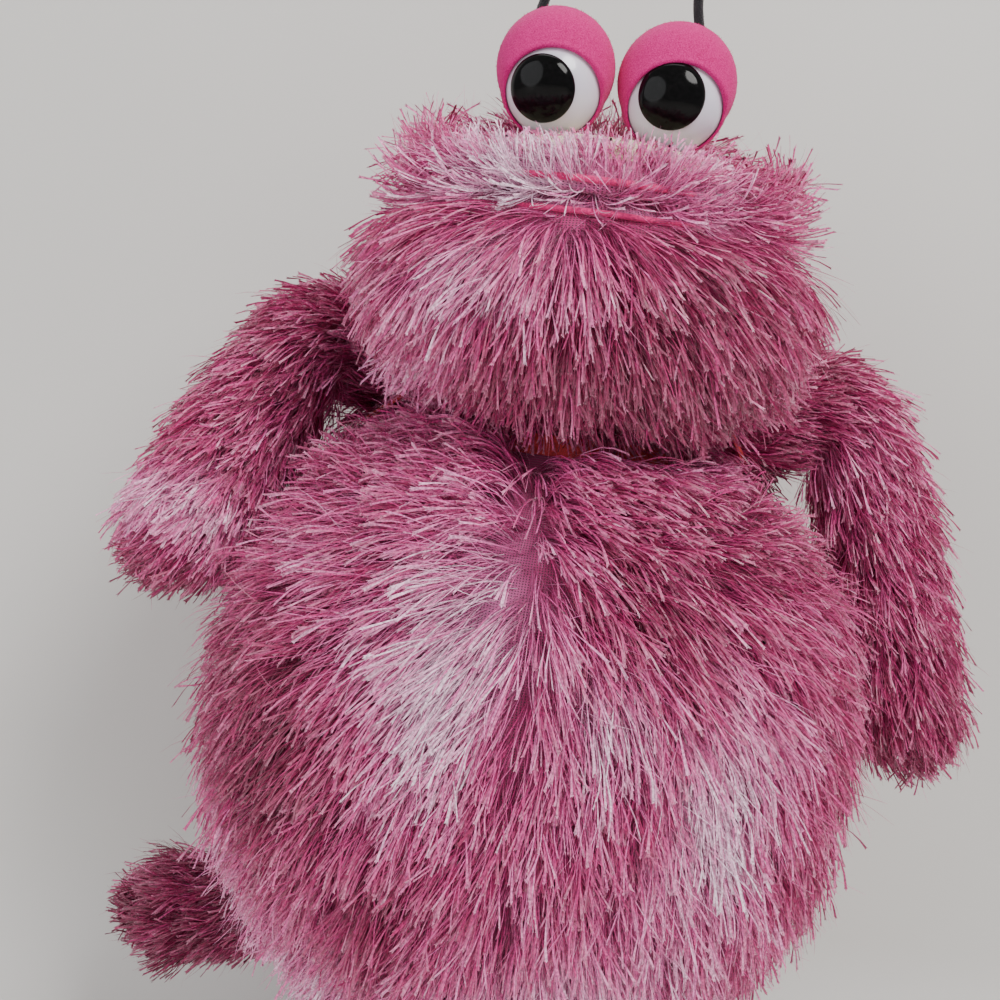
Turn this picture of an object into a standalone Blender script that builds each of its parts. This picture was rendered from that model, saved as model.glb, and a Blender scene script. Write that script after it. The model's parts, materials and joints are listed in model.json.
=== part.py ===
"""Furry moving-mouth hand puppet: torso with a hand sleeve, two-part head, arms, legs, antennae.

Metres, +Z up. The puppet faces -Y, so its own left side is +X. The origin is the middle of the
hand opening in the base. Skins are solids that hold the knitted backing and the dense part of
the pile; the loose hair tips reach further out than these solids.
"""
import math

import bmesh
import bpy
from mathutils import Matrix, Vector

MM = 0.001
GAP = 0.3 * MM                 # clearance between pieces that touch
STEPS = 24                     # facets round a turned piece
ROUNDNESS = 2.4                # 2 is an ellipsoid, larger is boxier
SIDES = (("left", 1), ("right", -1))

# Torso: (half width, height) down the outside, and how deep it is against its width.
TORSO_OUTLINE = ((48, 196), (72, 190), (92, 170), (103, 142), (107, 108),
                 (103, 74), (90, 44), (71, 20), (56, 0))
TORSO_DEPTH = 0.76
SKIN = 13 * MM                 # backing and dense pile together
SLEEVE_R = 40 * MM             # hand sleeve's outer half width
SLEEVE_WALL = 1.5 * MM
SLEEVE_TOP = 197 * MM
GUSSET_R = 50 * MM
GUSSET_T = 3 * MM

# Shoulders behind the neck, where the arms are sewn on.
YOKE_CENTRE = Vector((0, 50, 196)) * MM
YOKE_RADII = Vector((54, 26, 36)) * MM
NECK_CLEARANCE = (52 * MM, 39 * MM)

# Neck band and the soft sleeve above it: half width, half depth.
BAND_OUTER = (44 * MM, 35 * MM)
BAND_WALL = 4 * MM
BAND_BOTTOM = 199 * MM
BAND_TOP = 211 * MM
NECK_SLEEVE_OUTER = (42 * MM, 33 * MM)
NECK_SLEEVE_TOP = 239 * MM

# Head: the mouth hinge runs along X through this point.
HINGE_Y = 16 * MM
HINGE_Z = 284.8 * MM
HINGE_R = 2.2 * MM
JAW_BACK_Y = HINGE_Y - 2.0 * MM
MOUTH_GAP = 3.6 * MM
LINING_T = 2 * MM
BOARD_T = 2 * MM
MOUTH_CENTRE_Y = -22 * MM
MOUTH_RADII = (50.5 * MM, 46 * MM)
MOUTH_BACK_Y = HINGE_Y - 4.5 * MM

UPPER_CENTRE = Vector((0, -22, 286.9)) * MM
UPPER_RADII = Vector((66, 62, 36)) * MM
LOWER_CENTRE = Vector((0, -20, 262)) * MM
LOWER_RADII = Vector((74, 66, 44)) * MM
LOWER_NECK_CUT = (56 * MM, 52 * MM, 240 * MM)
BACK_CENTRE = Vector((0, 2, 275)) * MM
BACK_RADII = Vector((70, 62, 48)) * MM
BACK_BOTTOM = 246 * MM
NAPE_BOTTOM = 233 * MM
CROWN_ANGLE = 44               # degrees above the horizontal where the fixed back of the head ends
THROAT_ANGLE = 12.5            # degrees behind the vertical kept clear for the lower jaw
FOAM_T = 6 * MM
PALM_ROOM = (52 * MM, 44 * MM)

FINGER_POCKET = {"x": 34 * MM, "z": 6.1 * MM, "centre_z": 297.5 * MM, "front": -50 * MM}
THUMB_POCKET = {"x": 15 * MM, "z": 9.4 * MM, "centre_z": 268 * MM, "front": -50 * MM}
POCKET_WALL = 1.2 * MM
POCKET_NOSE = 14 * MM
POCKET_BACK = HINGE_Y - 5 * MM

# Eyes sit on top of the upper jaw. Gaze: degrees towards -X and degrees down.
EYE_X = 19.8 * MM
EYE_Y = -36 * MM
EYE_Z = 324 * MM
EYEBALL_R = 16.5 * MM
LID_R = 19.4 * MM
LID_RISE = 5 * MM               # the hood sits higher than the ball, so it is thick on top
LID_TILT = 50                  # the lid's cut faces forward and down
LID_EDGE = 17                  # degrees above the eye's middle where the lid's edge crosses
PUPIL_R = 10.6 * MM
PUPIL_T = 1.6 * MM
GAZE = {"left": (10, 8), "right": (15, 19)}
SHANK_R = 3 * MM
SHANK_BOTTOM = 304 * MM
WASHER_R = 8 * MM
WASHER_Z = (304.2 * MM, 305.4 * MM)

# Antennae: route of the left one from its base, x, y, z; the right one mirrors it.
ANTENNA_R = 1.9 * MM
ANTENNA_ROUTE = ((27.5, -14, 324), (29.5, -13, 338), (28, -12, 350), (25.5, -11, 364),
                 (27, -10, 380), (32, -9, 396))
ANTENNA_PAD_R = 4.5 * MM
ANTENNA_PAD_Z = (318.2 * MM, 322.5 * MM)

# Limbs: middle lines from the joint to the tip, x, y, z, and the radius at the root and near the tip.
ARM_ROUTES = {
    "left": ((63, 46, 216), (84, 47, 229), (105, 47, 231), (122, 44, 205), (136, 38, 162),
             (147, 30, 112)),
    "right": ((-63, 46, 216), (-79, 43, 232), (-95, 34, 233), (-110, 17, 210), (-122, 0, 182),
              (-131, -9, 154)),
}
ARM_RADII = (18 * MM, 21 * MM)
LEG_ROUTES = {
    "left": ((62, 44, 18), (70, 46, -12), (76, 47, -36), (80, 48, -58)),
    "right": ((-62, 44, 18), (-88, 46, 8), (-114, 47, 1), (-138, 48, -1)),
}
LEG_RADII = (16 * MM, 19 * MM)
LIMB_SKIN = 9 * MM
ARM_START = 3 * MM             # how far from the joint the sewn-on end of an arm lies
LEG_START = 8 * MM
LIMB_STEPS = 20                # facets round a limb
TAPE_T = 1.6 * MM
TAPE_WIDTH = 7 * MM

FUR = (0.56, 0.13, 0.33)
COLOURS = {
    "fur_body": (FUR, 0.85), "fur_head": ((0.62, 0.19, 0.40), 0.85),
    "fur_limb": ((0.58, 0.16, 0.36), 0.85), "lilac_knit": ((0.80, 0.60, 0.72), 0.9),
    "fibre_fill": ((0.92, 0.92, 0.90), 0.95), "foam": ((0.90, 0.86, 0.72), 0.9),
    "lining": ((0.16, 0.14, 0.16), 0.8), "felt": ((0.86, 0.10, 0.42), 0.95),
    "board": ((0.55, 0.45, 0.33), 0.8), "coral_tape": ((0.86, 0.16, 0.17), 0.8),
    "eye_white": ((0.86, 0.85, 0.92), 0.12), "pupil_black": ((0.008, 0.008, 0.009), 0.06),
    "flocked_lid": ((0.83, 0.07, 0.36), 0.95), "nylon": ((0.85, 0.85, 0.83), 0.4),
    "black_velvet": ((0.015, 0.014, 0.016), 0.95),
}


def clear_scene():
    for obj in list(bpy.data.objects):
        bpy.data.objects.remove(obj, do_unlink=True)


def new_collection(name):
    collection = bpy.data.collections.new(name)
    bpy.context.scene.collection.children.link(collection)
    return collection


def make_material(name):
    colour, roughness = COLOURS[name]
    material = bpy.data.materials.new(name)
    material.use_nodes = True
    shader = material.node_tree.nodes["Principled BSDF"]
    shader.inputs["Base Color"].default_value = (*colour, 1)
    shader.inputs["Roughness"].default_value = roughness
    shader.inputs["Metallic"].default_value = 0
    material.diffuse_color = (*colour, 1)
    return material


def link(obj, collection, material=None):
    for other in list(obj.users_collection):
        other.objects.unlink(obj)
    collection.objects.link(obj)
    if material is not None:
        obj.data.materials.clear()
        obj.data.materials.append(material)
        for face in obj.data.polygons:
            face.use_smooth = True
        obj.data.set_sharp_from_angle(angle=math.radians(35))
    return obj


def as_cutter(obj):
    link(obj, CUTTERS)
    obj.hide_render = True
    obj.display_type = "WIRE"
    return obj


def part(obj, name, material_name):
    obj.name = name
    obj.data.name = name
    return link(obj, PUPPET, MATERIALS[material_name])


def object_from_bmesh(mesh_builder, name="shape"):
    mesh = bpy.data.meshes.new(name)
    mesh_builder.to_mesh(mesh)
    mesh_builder.free()
    obj = bpy.data.objects.new(name, mesh)
    bpy.context.scene.collection.objects.link(obj)
    return obj


def box(low, high):
    """A box between two corners."""
    builder = bmesh.new()
    bmesh.ops.create_cube(builder, size=1)
    low, high = Vector(low), Vector(high)
    for vert in builder.verts:
        vert.co = (low + high) / 2 + Vector(a * b for a, b in zip(vert.co, high - low))
    return object_from_bmesh(builder)


def rounded_body(centre, radii, roundness=ROUNDNESS, segments=24, rings=12):
    """A ball pushed out towards a box, scaled to three radii."""
    builder = bmesh.new()
    bmesh.ops.create_uvsphere(builder, u_segments=segments, v_segments=rings, radius=1)
    for vert in builder.verts:
        norm = sum(abs(value) ** roundness for value in vert.co) ** (1 / roundness)
        vert.co = Vector(centre) + Vector(a * b / norm for a, b in zip(vert.co, radii))
    return object_from_bmesh(builder)


def drum(centre, radii, z_low, z_high, segments=STEPS):
    """An upright elliptical cylinder."""
    builder = bmesh.new()
    bmesh.ops.create_cone(builder, cap_ends=True, segments=segments, radius1=1, radius2=1,
                          depth=z_high - z_low)
    for vert in builder.verts:
        vert.co.x = centre[0] + vert.co.x * radii[0]
        vert.co.y = centre[1] + vert.co.y * radii[1]
        vert.co.z += (z_low + z_high) / 2
    return object_from_bmesh(builder)


def turned(profile, depth=1.0, steps=STEPS):
    """Turn (radius, z) points about Z; a profile that starts and ends on the axis is closed by it."""
    on_axis = profile[0][0] == 0 and profile[-1][0] == 0
    mesh = bpy.data.meshes.new("profile")
    count = len(profile)
    edges = [(i, i + 1) for i in range(count - 1)]
    if not on_axis:
        edges.append((count - 1, 0))
    mesh.from_pydata([(r, 0, z) for r, z in profile], edges, [])
    obj = bpy.data.objects.new("profile", mesh)
    bpy.context.scene.collection.objects.link(obj)
    screw = obj.modifiers.new("turn", "SCREW")
    screw.steps = steps
    screw.render_steps = steps
    screw.use_merge_vertices = True
    screw.merge_threshold = 0.01 * MM
    solid = bake(obj, face_outwards=True)
    solid.data.transform(Matrix.Diagonal((1, depth, 1, 1)))
    return solid


def bake(obj, face_outwards=False):
    """Replace an object by the plain mesh that its modifiers give."""
    bpy.context.view_layer.update()
    evaluated = obj.evaluated_get(bpy.context.evaluated_depsgraph_get())
    mesh = bpy.data.meshes.new_from_object(evaluated)
    builder = bmesh.new()
    builder.from_mesh(mesh)
    bmesh.ops.remove_doubles(builder, verts=builder.verts, dist=0.005 * MM)
    if face_outwards:
        bmesh.ops.recalc_face_normals(builder, faces=builder.faces)
    builder.to_mesh(mesh)
    builder.free()
    solid = bpy.data.objects.new(obj.name, mesh)
    solid.matrix_world = obj.matrix_world
    bpy.context.scene.collection.objects.link(solid)
    bpy.data.objects.remove(obj, do_unlink=True)
    return solid


def combine(obj, others, operation):
    """Apply Boolean steps one after another and return the plain result."""
    for other in others:
        as_cutter(other)
        step = obj.modifiers.new(operation.lower(), "BOOLEAN")
        step.operation = operation
        step.solver = "EXACT"
        step.object = other
    return bake(obj)


def keep(obj, *regions):
    return combine(obj, regions, "INTERSECT")


def cut(obj, *tools):
    return combine(obj, tools, "DIFFERENCE")


def smooth_points(points, pieces=2):
    """Points on a Catmull-Rom curve through the given ones."""
    points = [Vector(p) for p in points]
    padded = [2 * points[0] - points[1], *points, 2 * points[-1] - points[-2]]
    result = []
    for a, b, c, d in zip(padded, padded[1:], padded[2:], padded[3:]):
        for i in range(pieces):
            t = i / pieces
            result.append(0.5 * (2 * b + (c - a) * t + (2 * a - 5 * b + 4 * c - d) * t ** 2
                                 + (3 * b - a - 3 * c + d) * t ** 3))
    return result + [points[-1]]


def torso_curve(inset=0.0):
    """The torso's outline from the neck down, moved inwards along its normal."""
    curve = smooth_points([(r * MM, z * MM) for r, z in TORSO_OUTLINE])
    moved = []
    for i, point in enumerate(curve):
        along = curve[min(i + 1, len(curve) - 1)] - curve[max(i - 1, 0)]
        outward = Vector((-along.y, along.x)).normalized()
        moved.append(point - outward * inset)
    return moved


def torso_envelope(inset):
    """A closed solid of the torso, without the hand sleeve's hole."""
    curve = torso_curve(inset)
    return turned([(0, curve[0].y), *[tuple(p) for p in curve], (0, curve[-1].y)], TORSO_DEPTH)


def front_and_back(obj_maker, name, material_name):
    """Split one solid at the side seams."""
    reach = 300 * MM
    for word, low, high in (("front", -reach, -GAP / 2), ("back", GAP / 2, reach)):
        half = keep(obj_maker(), box((-reach, low, -reach), (reach, high, reach)))
        part(half, name.format(word), material_name)


def torso_skin():
    outer = torso_curve()
    inner = torso_curve(SKIN)
    return turned([*[tuple(p) for p in outer], *[tuple(p) for p in reversed(inner)]], TORSO_DEPTH)


def torso_stuffing():
    inner = [p for p in torso_curve(SKIN + GAP) if p.x > SLEEVE_R + 3 * MM]
    bore = SLEEVE_R + GAP
    return turned([*[tuple(p) for p in inner], (bore, inner[-1].y), (bore, inner[0].y)], TORSO_DEPTH)


def ring(outer, wall, z_low, z_high, depth):
    return turned([(outer, z_high), (outer, z_low), (outer - wall, z_low), (outer - wall, z_high)],
                  depth)


def build_torso():
    front_and_back(torso_skin, "torso_{}_skin", "fur_body")
    front_and_back(torso_stuffing, "torso_{}_stuffing", "fibre_fill")
    sleeve = ring(SLEEVE_R, SLEEVE_WALL, GUSSET_T + GAP, SLEEVE_TOP, TORSO_DEPTH)
    part(sleeve, "hand_sleeve", "lining")
    hem_wall = 3 * MM
    hem = ring(SLEEVE_R + 1.5 * MM, hem_wall, 0, GUSSET_T, TORSO_DEPTH)
    part(hem, "hand_opening_binding", "coral_tape")
    hem_r = SLEEVE_R + 1.5 * MM + GAP
    gusset = ring(GUSSET_R, GUSSET_R - hem_r, 0, GUSSET_T, TORSO_DEPTH)
    part(gusset, "base_gusset", "lilac_knit")


def yoke_body(inset):
    """The shoulders behind the neck, hollowed out in front of the neck and over the torso."""
    radii = YOKE_RADII - Vector((inset, inset, inset))
    neck = drum((0, 0), (NECK_CLEARANCE[0] + inset, NECK_CLEARANCE[1] + inset), 100 * MM, 300 * MM)
    return cut(rounded_body(YOKE_CENTRE, radii), neck, torso_envelope(-GAP))


def build_shoulders():
    shell = cut(yoke_body(0), rounded_body(YOKE_CENTRE, YOKE_RADII - Vector((1, 1, 1)) * 8 * MM))
    part(shell, "shoulder_yoke_skin", "fur_body")
    filling = cut(
        keep(rounded_body(YOKE_CENTRE, YOKE_RADII - Vector((1, 1, 1)) * (8 * MM + GAP)),
             box((-200 * MM, 0, 100 * MM), (200 * MM, 200 * MM, 300 * MM))),
        drum((0, 0), (NECK_CLEARANCE[0], NECK_CLEARANCE[1]), 100 * MM, 300 * MM),
        torso_envelope(-GAP))
    part(filling, "shoulder_yoke_stuffing", "fibre_fill")


def build_neck():
    band = ring(BAND_OUTER[0], BAND_WALL, BAND_BOTTOM, BAND_TOP, BAND_OUTER[1] / BAND_OUTER[0])
    part(band, "neck_band", "coral_tape")
    sleeve = ring(NECK_SLEEVE_OUTER[0], SLEEVE_WALL, BAND_TOP + GAP, NECK_SLEEVE_TOP,
                  NECK_SLEEVE_OUTER[1] / NECK_SLEEVE_OUTER[0])
    part(sleeve, "neck_sleeve", "lining")


def about_hinge(obj, degrees):
    """Turn a region about the mouth hinge; positive lowers the front."""
    centre = Vector((0, HINGE_Y, HINGE_Z))
    turn = Matrix.Translation(centre) @ Matrix.Rotation(math.radians(degrees), 4, "X")
    obj.data.transform(turn @ Matrix.Translation(-centre))
    return obj


def below_crown():
    """Everything behind the hinge and under the slanted top edge of the fixed back of the head."""
    far = 200 * MM
    wedge = box((-far, HINGE_Y - far, HINGE_Z - 2 * far), (far, HINGE_Y + 2 * far, HINGE_Z))
    return about_hinge(wedge, CROWN_ANGLE)


def behind_throat():
    far = 200 * MM
    wedge = box((-far, HINGE_Y + 3.2 * MM, HINGE_Z - far), (far, HINGE_Y + far, HINGE_Z + far))
    return about_hinge(wedge, THROAT_ANGLE)


def back_shell(thickness, inset=0.0):
    whole = rounded_body(BACK_CENTRE, BACK_RADII - Vector((1, 1, 1)) * inset)
    return cut(whole, rounded_body(BACK_CENTRE, BACK_RADII - Vector((1, 1, 1)) * (inset + thickness)))


def palm_room():
    """The way up from the neck to the back of the jaws."""
    return drum((0, 0), PALM_ROOM, 0, HINGE_Z)


def build_head_back():
    far = 200 * MM
    above = box((-far, 0, BACK_BOTTOM), (far, far, BACK_BOTTOM + far))
    skin = cut(keep(back_shell(SKIN), below_crown(), behind_throat(), above), palm_room())
    part(skin, "head_back_skin", "fur_head")
    above = box((-far, 0, BACK_BOTTOM), (far, far, BACK_BOTTOM + far))
    foam = cut(keep(back_shell(FOAM_T, SKIN + GAP), below_crown(), behind_throat(), above), palm_room())
    part(foam, "head_back_foam", "foam")

    in_front = box((-far, JAW_BACK_Y + 2 * GAP, HINGE_Z + 4 * MM), (far, far, HINGE_Z + far))
    crown_tool = below_crown()
    crown_tool.data.transform(Matrix.Translation((0, 0, GAP)))
    crown = cut(keep(back_shell(SKIN), in_front), crown_tool)
    part(crown, "crown_skin", "fur_head")

    nape_zone = box((-far, 26 * MM, NAPE_BOTTOM), (far, far, BACK_BOTTOM - GAP))
    nape = cut(keep(back_shell(SKIN), nape_zone),
               drum((0, 0), (NECK_SLEEVE_OUTER[0] + GAP, NECK_SLEEVE_OUTER[1] + GAP), 0, 300 * MM))
    part(nape, "nape_skin", "fur_head")

    bpy.ops.mesh.primitive_cylinder_add(vertices=12, radius=HINGE_R, depth=88 * MM,
                                        location=(0, HINGE_Y, HINGE_Z),
                                        rotation=(0, math.pi / 2, 0))
    part(bpy.context.active_object, "mouth_hinge_roll", "felt")


def mouth_plate(z_low, z_high, shrink=0.0):
    """A mouth board or lining: an ellipse cut straight at the hinge."""
    far = 200 * MM
    radii = (MOUTH_RADII[0] - shrink, MOUTH_RADII[1] - shrink)
    plate = drum((0, MOUTH_CENTRE_Y), radii, z_low, z_high)
    return keep(plate, box((-far, -far, 0), (far, MOUTH_BACK_Y, 400 * MM)))


def pocket_solid(size, grow=0.0, back_y=POCKET_BACK):
    """A flat glove-finger shape pointing forward, rounded at its front end."""
    half_x, half_z = size["x"] + grow, size["z"] + grow
    length = back_y - size["front"] + grow
    arc = [(half_x * math.cos(a), length - POCKET_NOSE + POCKET_NOSE * math.sin(a))
           for a in (math.pi / 2 * i / 5 for i in range(6))]
    body = turned([(0, length), *reversed(arc[:-1]), (half_x, 0), (0, 0)], half_z / half_x, 24)
    forward = Matrix.Translation((0, back_y, size["centre_z"])) @ Matrix.Rotation(math.pi / 2, 4, "X")
    body.data.transform(forward)
    return body


def build_pocket(size, name):
    shell = cut(pocket_solid(size), pocket_solid(size, -POCKET_WALL, POCKET_BACK + 5 * MM))
    part(shell, name, "lining")


def jaw_region(z_low, z_high):
    far = 200 * MM
    return box((-far, -far, z_low), (far, JAW_BACK_Y, z_high))


def eye_centre(side):
    return Vector((side * EYE_X, EYE_Y, EYE_Z))


def lid_centre(side):
    return eye_centre(side) + Vector((0, 0, LID_RISE))


def ball(centre, radius, segments=20, rings=12):
    return rounded_body(centre, (radius, radius, radius), 2, segments, rings)


def upright(centre, radius, z_low, z_high):
    return drum((centre[0], centre[1]), (radius, radius), z_low, z_high, 20)


def antenna_foot(side):
    return Vector((side * ANTENNA_ROUTE[0][0], ANTENNA_ROUTE[0][1], 0)) * MM


def build_upper_jaw():
    far = 200 * MM
    lining_low = HINGE_Z + MOUTH_GAP / 2
    board_low = lining_low + LINING_T + GAP
    board_high = board_low + BOARD_T
    part(mouth_plate(lining_low, lining_low + LINING_T), "upper_mouth_lining", "felt")
    part(mouth_plate(board_low, board_high, 0.5 * MM), "upper_mouth_board", "board")
    build_pocket(FINGER_POCKET, "finger_pocket")

    inner_radii = UPPER_RADII - Vector((1, 1, 1)) * SKIN
    eye_room = [ball(lid_centre(side), LID_R + 0.6 * MM) for _, side in SIDES]
    forward = Vector((0, -2, 1.2)) * MM
    eye_room += [ball(eye_centre(side) + forward, 18.9 * MM, 27, 13) for _, side in SIDES]
    shank_room = [upright(eye_centre(side), SHANK_R + GAP, 290 * MM, EYE_Z) for _, side in SIDES]
    pad_room = [upright(antenna_foot(side), ANTENNA_PAD_R + GAP, ANTENNA_PAD_Z[0] - GAP, EYE_Z + far)
                for _, side in SIDES]
    skin = cut(keep(rounded_body(UPPER_CENTRE, UPPER_RADII), jaw_region(lining_low, 500 * MM)),
               rounded_body(UPPER_CENTRE, inner_radii), *eye_room, *shank_room, *pad_room)
    part(skin, "upper_jaw_skin", "fur_head")

    foam_radii = inner_radii - Vector((1, 1, 1)) * GAP
    washer_room = [upright(eye_centre(side), WASHER_R + GAP, WASHER_Z[0] - GAP, EYE_Z)
                   for _, side in SIDES]
    shank_room = [upright(eye_centre(side), SHANK_R + GAP, SHANK_BOTTOM - GAP, EYE_Z)
                  for _, side in SIDES]
    foam = cut(keep(rounded_body(UPPER_CENTRE, foam_radii), jaw_region(board_high + GAP, 500 * MM)),
               pocket_solid(FINGER_POCKET, GAP, POCKET_BACK + 10 * MM), *washer_room, *shank_room)
    part(foam, "upper_jaw_foam", "foam")


def build_lower_jaw():
    lining_high = HINGE_Z - MOUTH_GAP / 2
    board_high = lining_high - LINING_T - GAP
    board_low = board_high - BOARD_T
    part(mouth_plate(lining_high - LINING_T, lining_high), "lower_mouth_lining", "felt")
    part(mouth_plate(board_low, board_high, 0.5 * MM), "lower_mouth_board", "board")
    build_pocket(THUMB_POCKET, "thumb_pocket")

    half_x, half_y, top = LOWER_NECK_CUT
    inner_radii = LOWER_RADII - Vector((1, 1, 1)) * SKIN
    mouth_room = drum((0, MOUTH_CENTRE_Y), (MOUTH_RADII[0] + GAP, MOUTH_RADII[1] + GAP),
                      board_low - GAP, 400 * MM)
    skin = cut(keep(rounded_body(LOWER_CENTRE, LOWER_RADII), jaw_region(0, lining_high)),
               rounded_body(LOWER_CENTRE, inner_radii), drum((0, 0), (half_x, half_y), 0, top),
               mouth_room)
    part(skin, "lower_jaw_skin", "fur_head")

    filling_radii = inner_radii - Vector((1, 1, 1)) * GAP
    filling = cut(keep(rounded_body(LOWER_CENTRE, filling_radii), jaw_region(0, board_low - GAP)),
                  drum((0, 0), (half_x, half_y), 0, top),
                  pocket_solid(THUMB_POCKET, GAP, POCKET_BACK + 10 * MM))
    part(filling, "lower_jaw_stuffing", "fibre_fill")


def gaze_turn(word):
    """Rotation from straight forward (-Y) to where this eye looks."""
    towards_minus_x, down = (math.radians(value) for value in GAZE[word])
    return Matrix.Rotation(-towards_minus_x, 4, "Z") @ Matrix.Rotation(down, 4, "X")


def build_pupil(word, side):
    """A thin dome that follows the eyeball's front."""
    reach = math.asin(PUPIL_R / (EYEBALL_R + GAP))
    arc = [reach * i / 5 for i in range(6)]
    outer_r = EYEBALL_R + GAP + PUPIL_T
    outer = [(outer_r * math.sin(a) * 0.985, outer_r * math.cos(a)) for a in arc]
    inner_r = EYEBALL_R + GAP
    inner = [(inner_r * math.sin(a), inner_r * math.cos(a)) for a in reversed(arc)]
    outer[0] = (0, outer[0][1])
    inner[-1] = (0, inner[-1][1])
    dome = turned([*outer, *inner])
    forward = Matrix.Rotation(math.pi / 2, 4, "X")
    dome.data.transform(Matrix.Translation(eye_centre(side)) @ gaze_turn(word) @ forward)
    part(dome, f"pupil_{word}", "pupil_black")


def build_lid(word, side):
    """A thick half-round hood, cut by a slanted plane so that its edge crosses the eye's front."""
    centre, ball_centre = lid_centre(side), eye_centre(side)
    hollow = ball(ball_centre, EYEBALL_R + GAP, 27, 13)
    far = 100 * MM
    offset = LID_R * math.sin(math.radians(LID_TILT - LID_EDGE))
    opening = box((-far, -far, -far), (far, -offset, far))
    opening.data.transform(Matrix.Rotation(math.radians(90 - LID_TILT), 4, "X"))
    opening.data.transform(Matrix.Translation(centre))
    pupil_path = ball(ball_centre, EYEBALL_R + 2 * GAP + PUPIL_T, 23, 15)
    half = PUPIL_R + 2 * MM
    front_zone = box((centre.x - half, -far, EYE_Z + 2 * MM),
                     (centre.x + half, centre.y - 9 * MM, 2 * EYE_Z))
    pupil_path = keep(pupil_path, front_zone)
    below = box((-far, -far, 0), (far, far, EYE_Z - 4 * MM))
    part(cut(ball(centre, LID_R), hollow, opening, pupil_path, below), f"eyelid_{word}", "flocked_lid")


def build_eyes():
    for word, side in SIDES:
        centre = eye_centre(side)
        part(ball(centre, EYEBALL_R), f"eyeball_{word}", "eye_white")
        build_pupil(word, side)
        build_lid(word, side)
        shank_top = EYE_Z - EYEBALL_R - GAP
        part(upright(centre, SHANK_R, SHANK_BOTTOM, shank_top), f"eye_shank_{word}", "nylon")
        washer = turned([(WASHER_R, WASHER_Z[1]), (WASHER_R, WASHER_Z[0]),
                         (SHANK_R + GAP, WASHER_Z[0]), (SHANK_R + GAP, WASHER_Z[1])], steps=20)
        washer.data.transform(Matrix.Translation((centre.x, centre.y, 0)))
        part(washer, f"eye_washer_{word}", "nylon")


def tube(points, radius):
    """A closed round tube along the points, as a mesh."""
    curve = bpy.data.curves.new("tube", "CURVE")
    curve.dimensions = "3D"
    curve.bevel_depth = radius
    curve.bevel_resolution = 2
    curve.use_fill_caps = True
    curve.resolution_u = 1
    curve.render_resolution_u = 0
    spline = curve.splines.new("POLY")
    spline.points.add(len(points) - 1)
    for target, point in zip(spline.points, points):
        target.co = (*point, 1)
    obj = bpy.data.objects.new("tube", curve)
    bpy.context.scene.collection.objects.link(obj)
    return bake(obj, face_outwards=True)


def build_antennae():
    for word, side in SIDES:
        route = [Vector((side * x, y, z)) * MM for x, y, z in ANTENNA_ROUTE]
        stalk = tube(smooth_points(route, 3), ANTENNA_R)
        stalk.data.transform(Matrix.Translation(-route[0]))
        stalk.location = route[0]
        part(stalk, f"antenna_{word}", "black_velvet")
        pad = upright(route[0], ANTENNA_PAD_R, *ANTENNA_PAD_Z)
        part(pad, f"antenna_base_{word}", "black_velvet")


def limb_profile(length, radii, inset, root_cut):
    """Outline of a sausage from its root plane to its round tip, (radius, distance along it)."""
    root_r, tip_r = (value - inset for value in radii)
    bend = length - tip_r - inset
    steps = 6
    side = [(root_r + (tip_r - root_r) * i / steps, root_cut + (bend - root_cut) * i / steps)
            for i in range(steps)]
    arc = [(tip_r * math.cos(a), bend + tip_r * math.sin(a))
           for a in (math.pi / 2 * i / 5 for i in range(6))]
    arc[-1] = (0, arc[-1][1])
    return side + arc


def route_frames(points):
    """Distance, place and turn matrix at each point of a route, without twist."""
    frames, distance = [], 0.0
    turn = (points[1] - points[0]).to_track_quat("Z", "Y").to_matrix()
    for i, point in enumerate(points):
        along = (points[min(i + 1, len(points) - 1)] - points[max(i - 1, 0)]).normalized()
        turn = (turn @ Vector((0, 0, 1))).rotation_difference(along).to_matrix() @ turn
        if i:
            distance += (point - points[i - 1]).length
        frames.append((distance, point, turn))
    return frames


def follow_route(mesh, frames):
    """Bend a mesh that stands along +Z so that it follows the route."""
    for vert in mesh.vertices:
        height = vert.co.z
        i = max(1, next((n for n, f in enumerate(frames) if f[0] >= height), len(frames) - 1))
        (d0, p0, turn0), (d1, p1, turn1) = frames[i - 1], frames[i]
        share = (height - d0) / (d1 - d0)
        across = Vector((vert.co.x, vert.co.y, 0))
        vert.co = p0.lerp(p1, share) + (turn0 @ across).lerp(turn1 @ across, share)


def build_limb(kind, word, route, radii, start):
    """A furry tube with a filling inside, along its route from the joint to its tip."""
    points = [p * MM for p in smooth_points(route, 6)]
    frames = route_frames(points)
    length = frames[-1][0]
    outer = limb_profile(length, radii, 0, start)
    inner = limb_profile(length, radii, LIMB_SKIN, start)
    skin = turned([(0, outer[-1][1]), *reversed(outer[:-1]), *inner[:-1], (0, inner[-1][1])],
                  steps=LIMB_STEPS)
    fill = limb_profile(length, radii, LIMB_SKIN + GAP, start)
    stuffing = turned([(0, fill[-1][1]), *reversed(fill[:-1]), (0, start)], steps=LIMB_STEPS)
    for obj, suffix, material_name in ((skin, "skin", "fur_limb"), (stuffing, "stuffing", "fibre_fill")):
        follow_route(obj.data, frames)
        obj.data.transform(Matrix.Translation(-points[0]))
        obj.location = points[0]
        part(obj, f"{kind}_{word}_{suffix}", material_name)


def build_seam_tape(name, route, radius):
    """The bound seam allowance where a limb is sewn to the body."""
    tape = turned([(radius, TAPE_T), (radius, 0), (radius - TAPE_WIDTH, 0),
                   (radius - TAPE_WIDTH, TAPE_T)], steps=LIMB_STEPS)
    tape.data.transform(Matrix.Translation((0, 0, ARM_START - TAPE_T - GAP)))
    follow_route(tape.data, route_frames([p * MM for p in smooth_points(route, 6)]))
    return part(tape, name, "coral_tape")


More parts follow.
